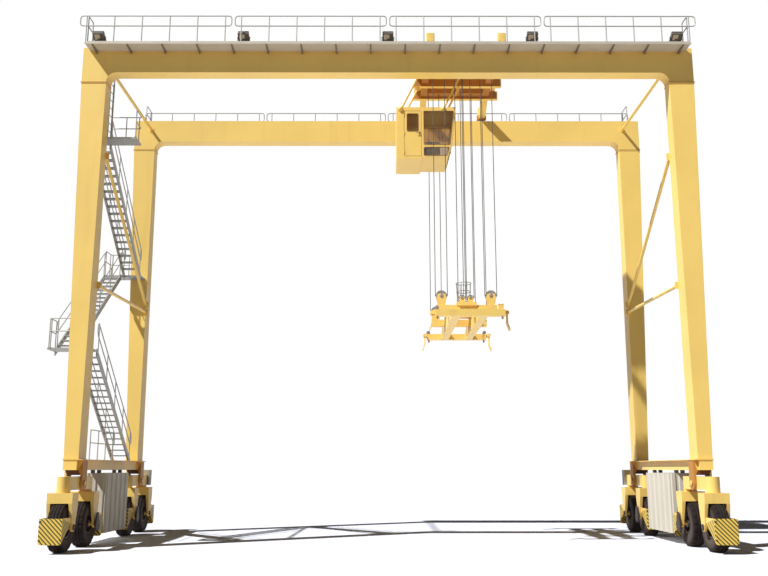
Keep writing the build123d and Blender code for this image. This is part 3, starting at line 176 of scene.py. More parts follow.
def set_floor():
    """A floor that looks pale, keeps the shadow and throws back little light."""
    half, height = 400, -0.002
    material = bpy.data.materials.new("studio_floor")
    material.use_nodes = True
    mix_by_ray(material.node_tree, "ShaderNodeOutputMaterial",
               lambda tree: dull(tree, (0.32, 0.28, 0.24)), lambda tree: dull(tree, (0.76, 0.80, 0.93)))
    mesh = bpy.data.meshes.new("floor")
    mesh.from_pydata([(x, y, height) for x, y in rectangle(-half, half, -half, half)], [], [(0, 1, 2, 3)])
    mesh.materials.append(material)
    floor = bpy.data.objects.new("floor", mesh)
    scene.collection.objects.link(floor)


# Materials

MIX_FACTOR, MIX_FIRST, MIX_SECOND, MIX_RESULT = 0, 6, 7, 2   # sockets of a mix node that mixes colours
RUST = (0.24, 0.15, 0.09)


class Surface:
    """A principled material under construction, with textures over the object's own coordinates."""

    def __init__(self, name, metallic=0.0):
        self.material = bpy.data.materials.new(name)
        self.material.use_nodes = True
        self.tree = self.material.node_tree
        self.shader = self.tree.nodes["Principled BSDF"]
        self.shader.inputs["Metallic"].default_value = metallic
        self.place = self.tree.nodes.new("ShaderNodeTexCoord").outputs["Object"]

    def link(self, output, socket):
        self.tree.links.new(output, socket)

    def mapped(self, change, value):
        """The coordinates with one change, which is Scale or Rotation."""
        mapping = self.tree.nodes.new("ShaderNodeMapping")
        mapping.inputs[change].default_value = value
        self.link(self.place, mapping.inputs["Vector"])
        return mapping.outputs["Vector"]

    def noise(self, scale, detail, stretch=(1, 1, 1)):
        texture = self.tree.nodes.new("ShaderNodeTexNoise")
        texture.inputs["Scale"].default_value = scale
        texture.inputs["Detail"].default_value = detail
        self.link(self.mapped("Scale", stretch), texture.inputs["Vector"])
        return texture.outputs["Fac"]

    def cells(self, scale):
        texture = self.tree.nodes.new("ShaderNodeTexVoronoi")
        texture.inputs["Scale"].default_value = scale
        self.link(self.place, texture.inputs["Vector"])
        return texture

    def wave(self, scale, direction, turn=(0, 0, 0)):
        texture = self.tree.nodes.new("ShaderNodeTexWave")
        texture.bands_direction = direction
        texture.inputs["Scale"].default_value = scale
        self.link(self.mapped("Rotation", turn), texture.inputs["Vector"])
        return texture.outputs["Fac"]

    def openness(self, distance):
        """1 on open faces and less in corners and between near pieces."""
        node = self.tree.nodes.new("ShaderNodeAmbientOcclusion")
        node.samples = 6
        node.inputs["Distance"].default_value = distance
        return node.outputs["AO"]

    def ramp(self, value, stops, sharp=False):
        ramp = self.tree.nodes.new("ShaderNodeValToRGB")
        ramp.color_ramp.interpolation = "CONSTANT" if sharp else "LINEAR"
        elements = ramp.color_ramp.elements
        while len(elements) < len(stops):
            elements.new(0.5)
        for element, (position, colour) in zip(elements, stops):
            element.position = position
            element.color = (*colour, 1)
        self.link(value, ramp.inputs["Fac"])
        return ramp.outputs["Color"]

    def mix(self, amount, first, second):
        mix = self.tree.nodes.new("ShaderNodeMix")
        mix.data_type = "RGBA"
        for index, value in ((MIX_FACTOR, amount), (MIX_FIRST, first), (MIX_SECOND, second)):
            if isinstance(value, tuple):
                mix.inputs[index].default_value = (*value, 1)
            else:
                self.link(value, mix.inputs[index])
        return mix.outputs[MIX_RESULT]

    def between(self, value, low, high):
        spread = self.tree.nodes.new("ShaderNodeMapRange")
        spread.inputs["To Min"].default_value = low
        spread.inputs["To Max"].default_value = high
        self.link(value, spread.inputs["Value"])
        return spread.outputs["Result"]

    def colour(self, output):
        self.link(output, self.shader.inputs["Base Color"])

    def roughness(self, value, low, high):
        self.link(self.between(value, low, high), self.shader.inputs["Roughness"])

    def bump(self, height, distance, strength):
        bump = self.tree.nodes.new("ShaderNodeBump")
        bump.inputs["Strength"].default_value = strength
        bump.inputs["Distance"].default_value = distance
        self.link(height, bump.inputs["Height"])
        self.link(bump.outputs["Normal"], self.shader.inputs["Normal"])


def shade(colour, factor):
    """A colour made darker or lighter."""
    return tuple(min(1.0, channel * factor) for channel in colour)


def painted(name, colour, grime, roughness, corner_shade=None):
    """Sprayed paint: faint fading in patches, rain streaks, painted shade in corners if a shade is given, and
    an orange-peel skin.
    """
    surface = Surface(name)
    fade = surface.ramp(surface.noise(0.45, 4.0), [(0.3, shade(colour, 0.93)), (0.7, shade(colour, 1.03))])
    streaks = surface.noise(2.2, 5.0, (1, 1, 0.07))
    dirt = surface.between(streaks, -0.55, 0.42)
    coat = surface.mix(dirt, fade, grime)
    if corner_shade:
        # painted shade: the coat turns towards the given shade colour in corners and between near pieces
        coat = surface.mix(surface.between(surface.openness(0.8), 0.95, -0.3), coat, corner_shade)
    surface.colour(coat)
    surface.roughness(surface.noise(3.0, 5.0), roughness - 0.1, roughness + 0.12)
    surface.bump(surface.noise(90.0, 2.0), 0.0015, 0.35)
    return surface.material


def galvanised(name, colour):
    """Hot-dip zinc: crystal spangle, dull patches and slight ripple."""
    surface = Surface(name, metallic=0.55)
    spangle = surface.cells(38.0)
    tint = surface.ramp(spangle.outputs["Color"], [(0.0, shade(colour, 0.8)), (1.0, shade(colour, 1.12))])
    patches = surface.between(surface.noise(1.6, 4.0), -0.3, 0.8)
    surface.colour(surface.mix(patches, tint, shade(colour, 0.72)))
    surface.roughness(surface.noise(14.0, 3.0), 0.38, 0.62)
    surface.bump(surface.noise(45.0, 2.0), 0.001, 0.4)
    return surface.material


def dark_steel(name, colour, metallic, roughness):
    """Bare or oiled steel with mottled rust-brown film."""
    surface = Surface(name, metallic=metallic)
    surface.colour(surface.ramp(surface.noise(4.0, 6.0), [(0.35, colour), (0.75, RUST)]))
    surface.roughness(surface.noise(20.0, 4.0), roughness - 0.12, roughness + 0.15)
    surface.bump(surface.noise(70.0, 3.0), 0.001, 0.5)
    return surface.material


def wire_rope(name):
    """Laid wire strands: slanting ridges with dark grease between."""
    surface = Surface(name, metallic=0.4)
    lay = surface.wave(26.0, "Z", (radians(38), radians(22), 0))
    surface.colour(surface.ramp(lay, [(0.1, (0.03, 0.028, 0.026)), (0.75, (0.17, 0.165, 0.16))]))
    surface.roughness(lay, 0.55, 0.35)
    surface.bump(lay, 0.006, 0.8)
    return surface.material


def tyre_rubber(name):
    """Worn rubber: dusty sidewall ring, darker shoulders, fine grain."""
    surface = Surface(name)
    split = surface.tree.nodes.new("ShaderNodeSeparateXYZ")
    surface.link(surface.place, split.inputs[0])
    across = surface.tree.nodes.new("ShaderNodeCombineXYZ")
    surface.link(split.outputs["Y"], across.inputs["Y"])
    surface.link(split.outputs["Z"], across.inputs["Z"])
    length = surface.tree.nodes.new("ShaderNodeVectorMath")
    length.operation = "LENGTH"
    surface.link(across.outputs[0], length.inputs[0])
    ring = surface.ramp(length.outputs["Value"], [
        (0.33, (0.034, 0.026, 0.024)), (0.42, (0.105, 0.082, 0.076)), (0.58, (0.078, 0.060, 0.056)),
        (0.67, (0.018, 0.012, 0.012)), (0.735, (0.010, 0.007, 0.007)), (0.75, (0.016, 0.012, 0.011))])
    dust = surface.between(surface.noise(5.0, 6.0), -0.2, 0.45)
    surface.colour(surface.mix(dust, ring, (0.045, 0.034, 0.030)))
    surface.shader.inputs["Specular IOR Level"].default_value = 0.2
    surface.roughness(surface.noise(30.0, 3.0), 0.72, 0.92)
    surface.bump(surface.noise(120.0, 3.0), 0.002, 0.6)
    return surface.material


def tinted_glass(name):
    """Brown tinted pane with a faint film of dust."""
    surface = Surface(name)
    dust = surface.noise(2.0, 4.0)
    surface.colour(surface.ramp(dust, [(0.3, (0.64, 0.54, 0.42)), (0.7, (0.70, 0.60, 0.48))]))
    surface.shader.inputs["Transmission Weight"].default_value = 0.97
    surface.shader.inputs["IOR"].default_value = 1.45
    surface.roughness(surface.noise(6.0, 4.0), 0.03, 0.10)
    return surface.material


def striped(name):
    """Slanting dark bands on yellow paint, scuffed."""
    surface = Surface(name)
    bands = surface.wave(4.65, "DIAGONAL")
    paint = surface.ramp(bands, [(0.0, (0.018, 0.015, 0.012)), (0.29, (0.86, 0.63, 0.11))], sharp=True)
    scuff = surface.between(surface.noise(7.0, 6.0), -0.5, 0.35)
    surface.colour(surface.mix(scuff, paint, (0.35, 0.29, 0.2)))
    surface.roughness(surface.noise(9.0, 4.0), 0.4, 0.65)
    surface.bump(surface.noise(80.0, 2.0), 0.0015, 0.3)
    return surface.material


def chequer(name, colour):
    """Deck plate: raised crossed bars and worn pale tops."""
    surface = Surface(name, metallic=0.2)
    first = surface.wave(9.0, "X", (0, 0, radians(45)))
    second = surface.wave(9.0, "X", (0, 0, radians(-45)))
    both = surface.tree.nodes.new("ShaderNodeMath")
    both.operation = "MULTIPLY"
    surface.link(first, both.inputs[0])
    surface.link(second, both.inputs[1])
    worn = surface.ramp(both.outputs[0], [(0.2, shade(colour, 0.82)), (0.8, shade(colour, 1.06))])
    dirt = surface.between(surface.noise(1.5, 5.0), -0.4, 0.6)
    surface.colour(surface.mix(dirt, worn, shade(colour, 0.6)))
    surface.roughness(surface.noise(8.0, 3.0), 0.45, 0.7)
    surface.bump(both.outputs[0], 0.004, 0.6)
    return surface.material


def lamp_glass(name):
    """Ribbed pale lens of a floodlight."""
    surface = Surface(name)
    ribs = surface.wave(18.0, "X")
    surface.colour(surface.ramp(ribs, [(0.0, (0.56, 0.47, 0.35)), (1.0, (0.84, 0.76, 0.62))]))
    surface.roughness(surface.noise(10.0, 2.0), 0.1, 0.25)
    surface.bump(ribs, 0.004, 0.5)
    return surface.material


YELLOW = (0.97, 0.705, 0.205)
LOOKS = {
    # the yellow paint takes a painted orange-brown shade in its corners
    "yellow_paint": painted("yellow_paint", YELLOW, (0.50, 0.33, 0.12), 0.42, (0.70, 0.32, 0.075)),
    "house_paint": painted("house_paint", (0.61, 0.59, 0.535), (0.48, 0.44, 0.36), 0.55),
    "walkway_paint": chequer("walkway_paint", (0.60, 0.56, 0.48)),
    "galvanised_steel": galvanised("galvanised_steel", (0.36, 0.36, 0.345)),
    "rail_steel": dark_steel("rail_steel", (0.30, 0.28, 0.26), 0.8, 0.4),
    "machine_grey": painted("machine_grey", (0.36, 0.37, 0.37), (0.2, 0.17, 0.14), 0.5),
    "lamp_case": painted("lamp_case", (0.13, 0.115, 0.10), (0.24, 0.2, 0.16), 0.5),
    "cab_glass": tinted_glass("cab_glass"),
    "wire_rope": wire_rope("wire_rope"),
    "tyre_rubber": tyre_rubber("tyre_rubber"),
    "rim_paint": painted("rim_paint", (0.065, 0.052, 0.047), (0.11, 0.085, 0.07), 0.6),
}
STRIPES = striped("hazard_stripes")
LENS = lamp_glass("lamp_lens")
BOLT = galvanised("bolt_steel", (0.48, 0.47, 0.45))
RUBBER = dark_steel("seal_rubber", (0.035, 0.034, 0.033), 0.0, 0.7)
CONSOLE = painted("console_paint", (0.42, 0.43, 0.48), (0.25, 0.24, 0.25), 0.5)
# brown-dark colour of the cab's seals and door handle, also the painted shadow lines at the legs' joints
SEAM = dark_steel("seam_shadow", (0.36, 0.20, 0.07), 0.0, 0.7)
BRACKET = painted("bracket_paint", (0.19, 0.145, 0.10), (0.3, 0.24, 0.17), 0.6)
# painted shade for the trolley beams' sides and the bottom faces of its cross beams
BEAM_SHADE = painted("beam_shade_paint", (0.46, 0.20, 0.055), (0.3, 0.12, 0.035), 0.6)
# painted shade, orange-brown, for the saddle plates inside the sills
SADDLE_SHADE = painted("saddle_shade_paint", (0.47, 0.22, 0.04), (0.30, 0.12, 0.03), 0.55)
# painted shade, near black, for the sills' bottom faces and the low faces between the saddle plates
UNDERSIDE_SHADE = painted("underside_shade_paint", (0.11, 0.045, 0.018), (0.2, 0.09, 0.035), 0.7)
DRIVE = painted("drive_paint", (0.045, 0.033, 0.030), (0.09, 0.07, 0.055), 0.6)
LUG_PAINT = painted("lug_paint", YELLOW, (0.50, 0.33, 0.12), 0.42)
BOX_PAINT = painted("control_box_paint", (0.36, 0.35, 0.28), (0.2, 0.18, 0.14), 0.5)


def paint_nodes():
    """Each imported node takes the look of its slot."""
    for entry in frame["record"]["subparts"]:
        mesh = nodes[entry["node"]].data
        mesh.materials.clear()
        mesh.materials.append(LOOKS[entry["material_slot"]])


# Mesh tools

SHARP, TYRE_SHARP = 32, 28      # faces that meet at more degrees than this keep a hard edge


def made_mesh(name, shape, material, sharp=None):
    """Mesh of a filled bmesh, smooth up to an angle in degrees, or flat faced if none is given."""
    mesh = bpy.data.meshes.new(name)
    bmesh.ops.recalc_face_normals(shape, faces=shape.faces)
    shape.to_mesh(mesh)
    shape.free()
    if sharp:
        for polygon in mesh.polygons:
            polygon.use_smooth = True
        mesh.set_sharp_from_angle(angle=radians(sharp))
    mesh.materials.append(material)
    return mesh


def piece(name, shape, material, body, place=None):
    """Turn a filled bmesh into a piece that rides on a body."""
    return put(name, made_mesh(name, shape, material, SHARP), body, place)


def put(name, mesh, body, place=None):
    """Place a mesh as a piece that rides on a body."""
    item = bpy.data.objects.new(name, mesh)
    scene.collection.objects.link(item)
    if place:
        item.location = place
    bpy.context.view_layer.update()
    if body:
        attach(item, body)
    return item


def rectangle(a0, a1, b0, b1):
    """The four corners of a rectangle in order, as pairs."""
    return [(a0, b0), (a1, b0), (a1, b1), (a0, b1)]


def circle(shape, centre, normal, across, radius, count):
    """A ring of vertices about a centre, in the plane of two directions."""
    return [shape.verts.new(centre + radius * (cos(angle) * normal + sin(angle) * across))
            for angle in (2 * pi * step / count for step in range(count))]


def bridge(shape, first, second):
    """Quads between two closed rings of vertices."""
    count = len(first)
    for index in range(count):
        after = (index + 1) % count
        shape.faces.new((first[index], first[after], second[after], second[index]))


def skin(shape, rings):
    """Closed surface over rings of vertices, flat at both ends."""
    for first, second in zip(rings, rings[1:]):
        bridge(shape, first, second)
    shape.faces.new(rings[0])
    shape.faces.new(rings[-1])


def tube(shape, points, radius, sides=8, closed=False):
    """Round tube along points, with flat ends unless it is closed."""
    points = [Vector(point) for point in points]
    count = len(points)
    rings = []
    normal = None
    for index, point in enumerate(points):
        before = points[index - 1] if index or closed else point
        after = points[(index + 1) % count] if index + 1 < count or closed else point
        along = (after - before).normalized()
        if normal is None:
            normal = along.orthogonal().normalized()
        normal = (normal - along * normal.dot(along)).normalized()
        rings.append(circle(shape, point, normal, along.cross(normal), radius, sides))
    if not closed:
        skin(shape, rings)
        return
    for first, second in zip(rings, rings[1:]):
        bridge(shape, first, second)
    last, start = rings[-1], rings[0]

    def twist(shift):
        return sum((last[index].co - start[(index + shift) % sides].co).length for index in range(sides))

    shift = min(range(sides), key=twist)
    bridge(shape, last, start[shift:] + start[:shift])


def rounded(points, radius, closed=False, steps=5):
    """The points with each corner replaced by a bend of that radius."""
    points = [Vector(point) for point in points]
    count = len(points)
    path = []
    for index, corner in enumerate(points):
        if not closed and index in (0, count - 1):
            path.append(corner)
            continue
        before, after = points[index - 1], points[(index + 1) % count]
        back, ahead = (before - corner), (after - corner)
        reach = min(radius, 0.49 * back.length, 0.49 * ahead.length)
        start, end = corner + back.normalized() * reach, corner + ahead.normalized() * reach
        for step in range(steps + 1):
            t = step / steps
            path.append((1 - t) ** 2 * start + 2 * t * (1 - t) * corner + t ** 2 * end)
    return path


def loop(shape, corners, bend, radius, sides=8, steps=5):
    """Closed tube along corners, each with a bend."""
    tube(shape, rounded(corners, bend, True, steps), radius, sides, True)


def brick(shape, low, high, bevel=0.0, place=None):
    """Block between two corners, its edges bevelled, in the frame of place if that is given."""
    low, high = Vector(low), Vector(high)
    middle, size = (low + high) / 2, high - low
    place = Matrix.Identity(4) if place is None else place
    matrix = place @ Matrix.Translation(middle) @ Matrix.Diagonal((*size, 1))
    made = bmesh.ops.create_cube(shape, size=1.0, matrix=matrix)
    if bevel:
        edges = list({edge for vertex in made["verts"] for edge in vertex.link_edges})
        bmesh.ops.bevel(shape, geom=edges, offset=bevel, segments=2, affect="EDGES", clamp_overlap=True)


def lathe(shape, profile, axis, centre, steps):
    """Turned body: profile points are (along the axis, radius)."""
    axis, centre = Vector(axis).normalized(), Vector(centre)
    normal = axis.orthogonal().normalized()
    across = axis.cross(normal)
    skin(shape, [circle(shape, centre + axis * along, normal, across, radius, steps)
                 for along, radius in profile])


def bolt(shape, seat, axis, size):
    """Hexagon head on a washer, standing on its seat along axis; size is the head's width."""
    washer = ((0, 0.72), (0.1, 0.72), (0.12, 0.68))
    head = ((0.12, 0.55), (0.68, 0.55), (0.78, 0.46))
    for profile, steps in ((washer, 12), (head, 6)):
        lathe(shape, [(along * size, radius * size) for along, radius in profile], axis, seat, steps)


def bolt_circle(shape, centre, way, radius, count, size, start=0.0):
    """Bolts in a circle about the X axis, with their heads pointing along way."""
    x, y, z = centre
    for index in range(count):
        angle = start + 2 * pi * index / count
        bolt(shape, (x, y + radius * cos(angle), z + radius * sin(angle)), (way, 0, 0), size)


# Ropes, which stretch between the trolley and the spreader

def rope_falls():
    """The rope falls and the spreader's cable, in groups that end at one height."""
    radius, groove, middle_groove = 0.014, 0.2193, 0.1343
    corner = [(TROLLEY_X + side * SHEAVE_X + edge * groove, y)
              for side in (-1, 1) for edge in (-1, 1) for y in (-SHEAVE_Y, SHEAVE_Y)]
    middle = [(TROLLEY_X + side * MIDDLE_X + edge * middle_groove, -SHEAVE_Y)
              for side in (-1, 1) for edge in (-1, 1)]
    groups = {"corner_ropes": (SHEAVE_Z, corner), "middle_ropes": (MIDDLE_Z, middle),
              "spreader_cable": (CABLE_END, [(BASKET_X, BASKET_Y)])}
    for name, (bottom, places) in groups.items():
        shape = bmesh.new()
        for x, y in places:
            tube(shape, [(x, y, bottom), (x, y, ROPE_TOP)], radius, 10)
        rope = piece(name, shape, LOOKS["wire_rope"], None)
        x, y = places[0]
        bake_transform(rope)
        if name == "corner_ropes":
            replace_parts(rope, "hoist_ropes")


# Wheels: tyres, nuts, guards, axle caps and drives

GUARD_BACK, GUARD_FACE = -0.8895, -0.893        # ahead of the kingpin, before the fork is turned


def wheel_places():
    """Every wheel as (stem, x, y, turn of its fork, side of the span, inner or outer)."""
    for corner, (side_x, side_y) in CORNERS.items():
        for place, offset, turn in (("outer", HALF_PITCH, 0), ("inner", -HALF_PITCH, pi)):
            heading = turn + (pi if side_y > 0 else 0)
            yield f"{corner}_{place}", side_x * WHEEL_X, side_y * (PIVOT_Y + offset), heading, side_x, place


def tyre_mesh():
    """Tyre about the X axis: bulged sidewalls with ridges, and a tread of blocks round the crown."""
    steps, block_steps, gap_depth, lead = 140, 7, 0.024, 0.28
    side = [(0.166, 0.331), (0.192, 0.345), (0.203, 0.375), (0.211, 0.43), (0.2125, 0.435), (0.2165, 0.50),
            (0.2185, 0.505), (0.2195, 0.56), (0.217, 0.61), (0.219, 0.615), (0.216, 0.655), (0.210, 0.690)]
    crown = [(0.206, 0.718), (0.192, 0.738), (0.156, 0.747), (0.108, 0.749), (0.106, 0.722), (0.082, 0.722),
             (0.080, 0.750), (0.014, 0.750), (0.012, 0.724), (0, 0.724)]
    half = side + crown
    profile = half + [(-x, r) for x, r in reversed(half[:-1])]
    blocks = range(len(side), len(side) + 4)
    last = len(profile) - 1
    shape = bmesh.new()
    rings = []
    for step in range(steps):
        in_gap = step % block_steps in (0, 1)
        angle = 2 * pi * (step + (lead if step % block_steps == 0 else 0)) / steps
        ring = []
        for index, (x, radius) in enumerate(profile):
            if in_gap and (index in blocks or last - index in blocks):
                radius -= gap_depth
            ring.append(shape.verts.new((x, radius * cos(angle), radius * sin(angle))))
        rings.append(ring)
    for index, ring in enumerate(rings):
        bridge(shape, ring, rings[(index + 1) % steps])
    return made_mesh("tyre", shape, LOOKS["tyre_rubber"], TYRE_SHARP)


def hub_mesh():
    """Wheel nuts on both sides of the disc, bolts round each end of the hub, and the valves."""
    disc, hub_end = 0.04, 0.195
    shape = bmesh.new()
    for way in (-1, 1):
        bolt_circle(shape, (way * disc, 0, 0), way, 0.215, 10, 0.034)
        bolt_circle(shape, (way * hub_end, 0, 0), way, 0.1, 6, 0.018)
        tube(shape, [(way * disc, 0.262, 0), (way * 0.09, 0.264, 0), (way * 0.12, 0.255, 0)], 0.006, 6)
    return made_mesh("wheel_nuts", shape, BOLT)


def wheels():
    """A treaded tyre and wheel nuts on every wheel."""
    tyre, nuts = tyre_mesh(), hub_mesh()
    for stem, x, y, *_ in wheel_places():
        centre = (x, y, AXLE_Z)
        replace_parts(put(f"{stem}_tread", tyre, f"{stem}_wheel", centre), f"{stem}_tyre")
        put(f"{stem}_nuts", nuts, f"{stem}_wheel", centre)


def turn_fork(shape, turn):
    """Turn what is drawn so far about the kingpin."""
    bmesh.ops.rotate(shape, verts=shape.verts, cent=(0, 0, 0), matrix=Matrix.Rotation(turn, 3, "Z"))


def guard_plate(turn):
    """Thin striped face plate with rounded lower corners, ahead of the fork."""
    half, low, high, corner = 0.352, 0.288, 1.047, 0.085
    outline = [(-half, high), (half, high)]
    for middle, start in ((half - corner, 0), (corner - half, -pi / 2)):
        for step in range(7):
            angle = start - step * pi / 12
            outline.append((middle + corner * cos(angle), low + corner + corner * sin(angle)))
    shape = bmesh.new()
    skin(shape, [[shape.verts.new((x, y, z)) for x, z in outline] for y in (GUARD_BACK, GUARD_FACE)])
    turn_fork(shape, turn)
    return shape


def fork_fittings(shape, turn):
    """Dark bolted caps on the axle's ends and bolts at the guard's sides."""
    arm_face, cap_face, guard_bolt = 0.4, 0.42, 0.31
    cap = [(0, 0.1), (0.016, 0.1), (0.02, 0.094), (0.022, 0.07), (0.034, 0.066), (0.038, 0.05)]
    for way in (-1, 1):
        lathe(shape, cap, (way, 0, 0), (way * arm_face, 0, AXLE_Z), 28)
        bolt_circle(shape, (way * cap_face, 0, AXLE_Z), way, 0.083, 6, 0.018)
        for z in (0.42, 0.98):
            bolt(shape, (way * guard_bolt, GUARD_FACE, z), (0, -1, 0), 0.03)
    turn_fork(shape, turn)


def drive_unit(shape, way):
    """Dark chain case on the side of a fork arm, round at the axle and narrow above, with bolted edges."""
    inside, outside = 0.44, 0.5
    low, low_radius, high, high_radius, bolt_radius = 0.7, 0.2, 1.05, 0.07, 0.17
    lower = [radians(180 + step * 15) for step in range(13)]
    upper = [radians(step * 20) for step in range(10)]
    case = [(low_radius * cos(angle), low + low_radius * sin(angle)) for angle in lower]
    case += [(high_radius * cos(angle), high + high_radius * sin(angle)) for angle in upper]
    skin(shape, [[shape.verts.new((way * x, y, z)) for y, z in case] for x in (inside, outside)])
    for angle in lower[::3]:
        seat = (way * outside, bolt_radius * cos(angle), low + bolt_radius * sin(angle))
        bolt(shape, seat, (way, 0, 0), 0.022)


def running_gear():
    """Striped guard plates, axle caps and drives on the steered forks, and caps on the equalisers' pins."""
    for stem, x, y, turn, side, place in wheel_places():
        piece(f"{stem}_guard_stripes", guard_plate(turn), STRIPES, f"{stem}_steering",
              place=(x, y, 0))
        shape = bmesh.new()
        fork_fittings(shape, turn)
        if place == "inner":
            drive_unit(shape, -side)
        piece(f"{stem}_axle_caps", shape, DRIVE, f"{stem}_steering", place=(x, y, 0))
    pin_end, cap = 0.32, 0.012
    shape = bmesh.new()
    for side_x, side_y in CORNERS.values():
        for way in (-1, 1):
            x, y = side_x * WHEEL_X + way * pin_end, side_y * PIVOT_Y
            lathe(shape, [(0, 0.08), (cap, 0.08), (0.016, 0.074)], (way, 0, 0), (x, y, PIVOT_Z), 28)
            bolt_circle(shape, (x + way * cap, y, PIVOT_Z), way, 0.055, 4, 0.02, pi / 4)
    piece("equaliser_pin_caps", shape, LOOKS["yellow_paint"], "gantry")


# Railings of round tube, and gratings

INNER_LANE, OUTER_LANE, FLIGHT_END = -10.86, -11.66, 2.44
FLIGHTS = ((INNER_LANE, (FLIGHT_END, SILL_TOP), (-FLIGHT_END, LANDINGS[0])),
           (OUTER_LANE, (-FLIGHT_END, LANDINGS[0]), (FLIGHT_END, LANDINGS[1])),
           (INNER_LANE, (FLIGHT_END, LANDINGS[1]), (-FLIGHT_END, LANDINGS[2])))
HAND, KNEE, BAR = 1.02, 0.58, 0.019             # heights of the stair's rails, and radius of their tube


def walkway_rails():
    """Closed loops of tube on posts along both walkways, and a hoop across each end."""
    low, high, radius = 17.974, 18.359, 0.021
    bays, bay_pitch, half_bay = 4, 5.5, 2.71
    posts, post_pitch, first_post, hoop_x = 6, 0.986, 0.245, 10.66
    for name, y, start, end in (("front", -4.237, -4.195, -3.716), ("rear", 4.575, 4.533, 3.716)):
        shape = bmesh.new()
        for bay in range(bays):
            x = (bay - (bays - 1) / 2) * bay_pitch
            half = half_bay - radius
            loop(shape, [(a, y, b) for a, b in rectangle(x - half, x + half, low, high)], 0.12, radius)
            for post in range(posts):
                px = x - half_bay + first_post + post * post_pitch
                tube(shape, [(px, y, DECK), (px, y, high)], radius)
                brick(shape, (px - 0.05, y - 0.02, DECK), (px + 0.05, y + 0.02, DECK + 0.012))
        for x in (-hoop_x, hoop_x):
            hoop = [(x, start, DECK), (x, start, high), (x, end, high), (x, end, DECK)]
            tube(shape, rounded(hoop, 0.07), radius)
            tube(shape, [(x, start, low), (x, end, low)], radius)
        rail = piece(f"{name}_walkway_rail", shape, LOOKS["galvanised_steel"], "gantry")
        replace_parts(rail, f"{name}_railing")


def flight_rails(shape, lane, start, end):
    """Handrail and knee rail of a flight as one bent loop on each side, on five posts."""
    (y0, z0), (y1, z1) = start, end
    posts, first_share, last_share, left, right = 5, 0.03, 0.97, 0.0225, 0.6775
    for x in (lane + left, lane + right):
        corners = [(x, y0, z0 + KNEE), (x, y1, z1 + KNEE), (x, y1, z1 + HAND), (x, y0, z0 + HAND)]
        loop(shape, corners, 0.17, BAR)
        for post in range(posts):
            share = first_share + (last_share - first_share) * post / (posts - 1)
            y, z = y0 + share * (y1 - y0), z0 + share * (z1 - z0)
            tube(shape, [(x, y, z + 0.03), (x, y, z + HAND)], BAR)


def bent_rail(shape, corners, height, posts):
    """Railing on a landing along corners in plan, at two heights, with posts at given places."""
    for rise in (HAND, KNEE):
        tube(shape, rounded([(x, y, height + rise) for x, y in corners], 0.1), BAR)
    for x, y in posts:
        tube(shape, [(x, y, height), (x, y, height + HAND)], BAR)
        lathe(shape, [(0, 0.045), (0.01, 0.045), (0.012, 0.03)], (0, 0, 1), (x, y, height), 12)


def stair_rails():
    """All railings of the stairs, their landings and the sill, of round tube."""
    near, far, edge = 2.46, 3.1257, -11.64
    shape = bmesh.new()
    for lane, start, end in FLIGHTS:
        flight_rails(shape, lane, start, end)
    for side, height in ((-1, LANDINGS[0]), (1, LANDINGS[1])):
        corners = [(edge, side * near), (edge, side * far), (INNER_LANE, side * far)]
        posts = [corners[0], (edge, side * 3.05), (-11.56, side * far), corners[2]]
        bent_rail(shape, corners, height, posts)
    corners = [(-10.18, -near), (-9.07, -near), (-9.07, -far)]
    bent_rail(shape, corners, LANDINGS[2], [corners[0], (-9.62, -near), (-9.15, -near), corners[2]])
    start, end = -2.1, 0.5
    posts = [(-SILL_X, start + index * (end - start) / 3) for index in range(4)]
    bent_rail(shape, [(-SILL_X, start), (-SILL_X, end)], SILL_TOP, posts)
    rail = piece("stair_tube_railings", shape, LOOKS["galvanised_steel"], "gantry")
    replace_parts(rail, "stair_railings")


def stair_gratings():
    """Bearing bars and a nosing on every tread."""
    rises, left, right, half_bar = 18, 0.046, 0.654, 0.003
    shape = bmesh.new()
    for lane, (y0, z0), (y1, z1) in FLIGHTS:
        ahead = 1 if y1 > y0 else -1
        for index in range(1, rises):
            y, z = y0 + index / rises * (y1 - y0), z0 + index / rises * (z1 - z0)
            for bar in range(5):
                place = y - 0.1 + bar * 0.05
                brick(shape, (lane + left, place - half_bar, z), (lane + right, place + half_bar, z + 0.008))
            nose = y - ahead * 0.122
            tube(shape, [(lane + left, nose, z - 0.006), (lane + right, nose, z - 0.006)], 0.011, 6)
    piece("stair_gratings", shape, LOOKS["galvanised_steel"], "gantry")


# Fittings of the gantry: floodlights, joints and rail clips

def lamp_fittings():
    """Fins, frame and yoke of every floodlight, and its pale lens at one corner of the face."""
    lamps, pitch, y, z, foot, arm = 5, 5.16, -3.968, 17.675, 17.33, 0.213
    tilt = Matrix.Rotation(radians(-30), 4, "X")
    cases, panes = bmesh.new(), bmesh.new()
    for lamp in range(lamps):
        x = (lamp - (lamps - 1) / 2) * pitch
        place = Matrix.Translation((x, y, z)) @ tilt
        for fin in range(9):
            along = -0.16 + fin * 0.04
            brick(cases, (along - 0.004, -0.19, 0.07), (along + 0.004, 0.19, 0.1), place=place)
        rim = [place @ Vector((a, b, -0.072)) for a, b in rectangle(-0.18, 0.18, -0.2, 0.2)]
        loop(cases, rim, 0.03, 0.011)
        bead = [place @ Vector((a, b, -0.074)) for a, b in rectangle(-0.155, 0.055, -0.175, 0.06)]
        loop(cases, bead, 0.02, 0.008)
        brick(panes, (-0.15, -0.17, -0.076), (0.05, 0.055, -0.068), 0.003, place)
        yoke = [(x - arm, y, z), (x - arm, y, foot), (x + arm, y, foot), (x + arm, y, z)]
        tube(cases, rounded(yoke, 0.05), 0.014)
        for way in (-1, 1):
            bolt(cases, (x + way * 0.2, y, z), (way, 0, 0), 0.04)
    piece("floodlight_fittings", cases, LOOKS["lamp_case"], "gantry")
    piece("floodlight_lenses", panes, LENS, "gantry")


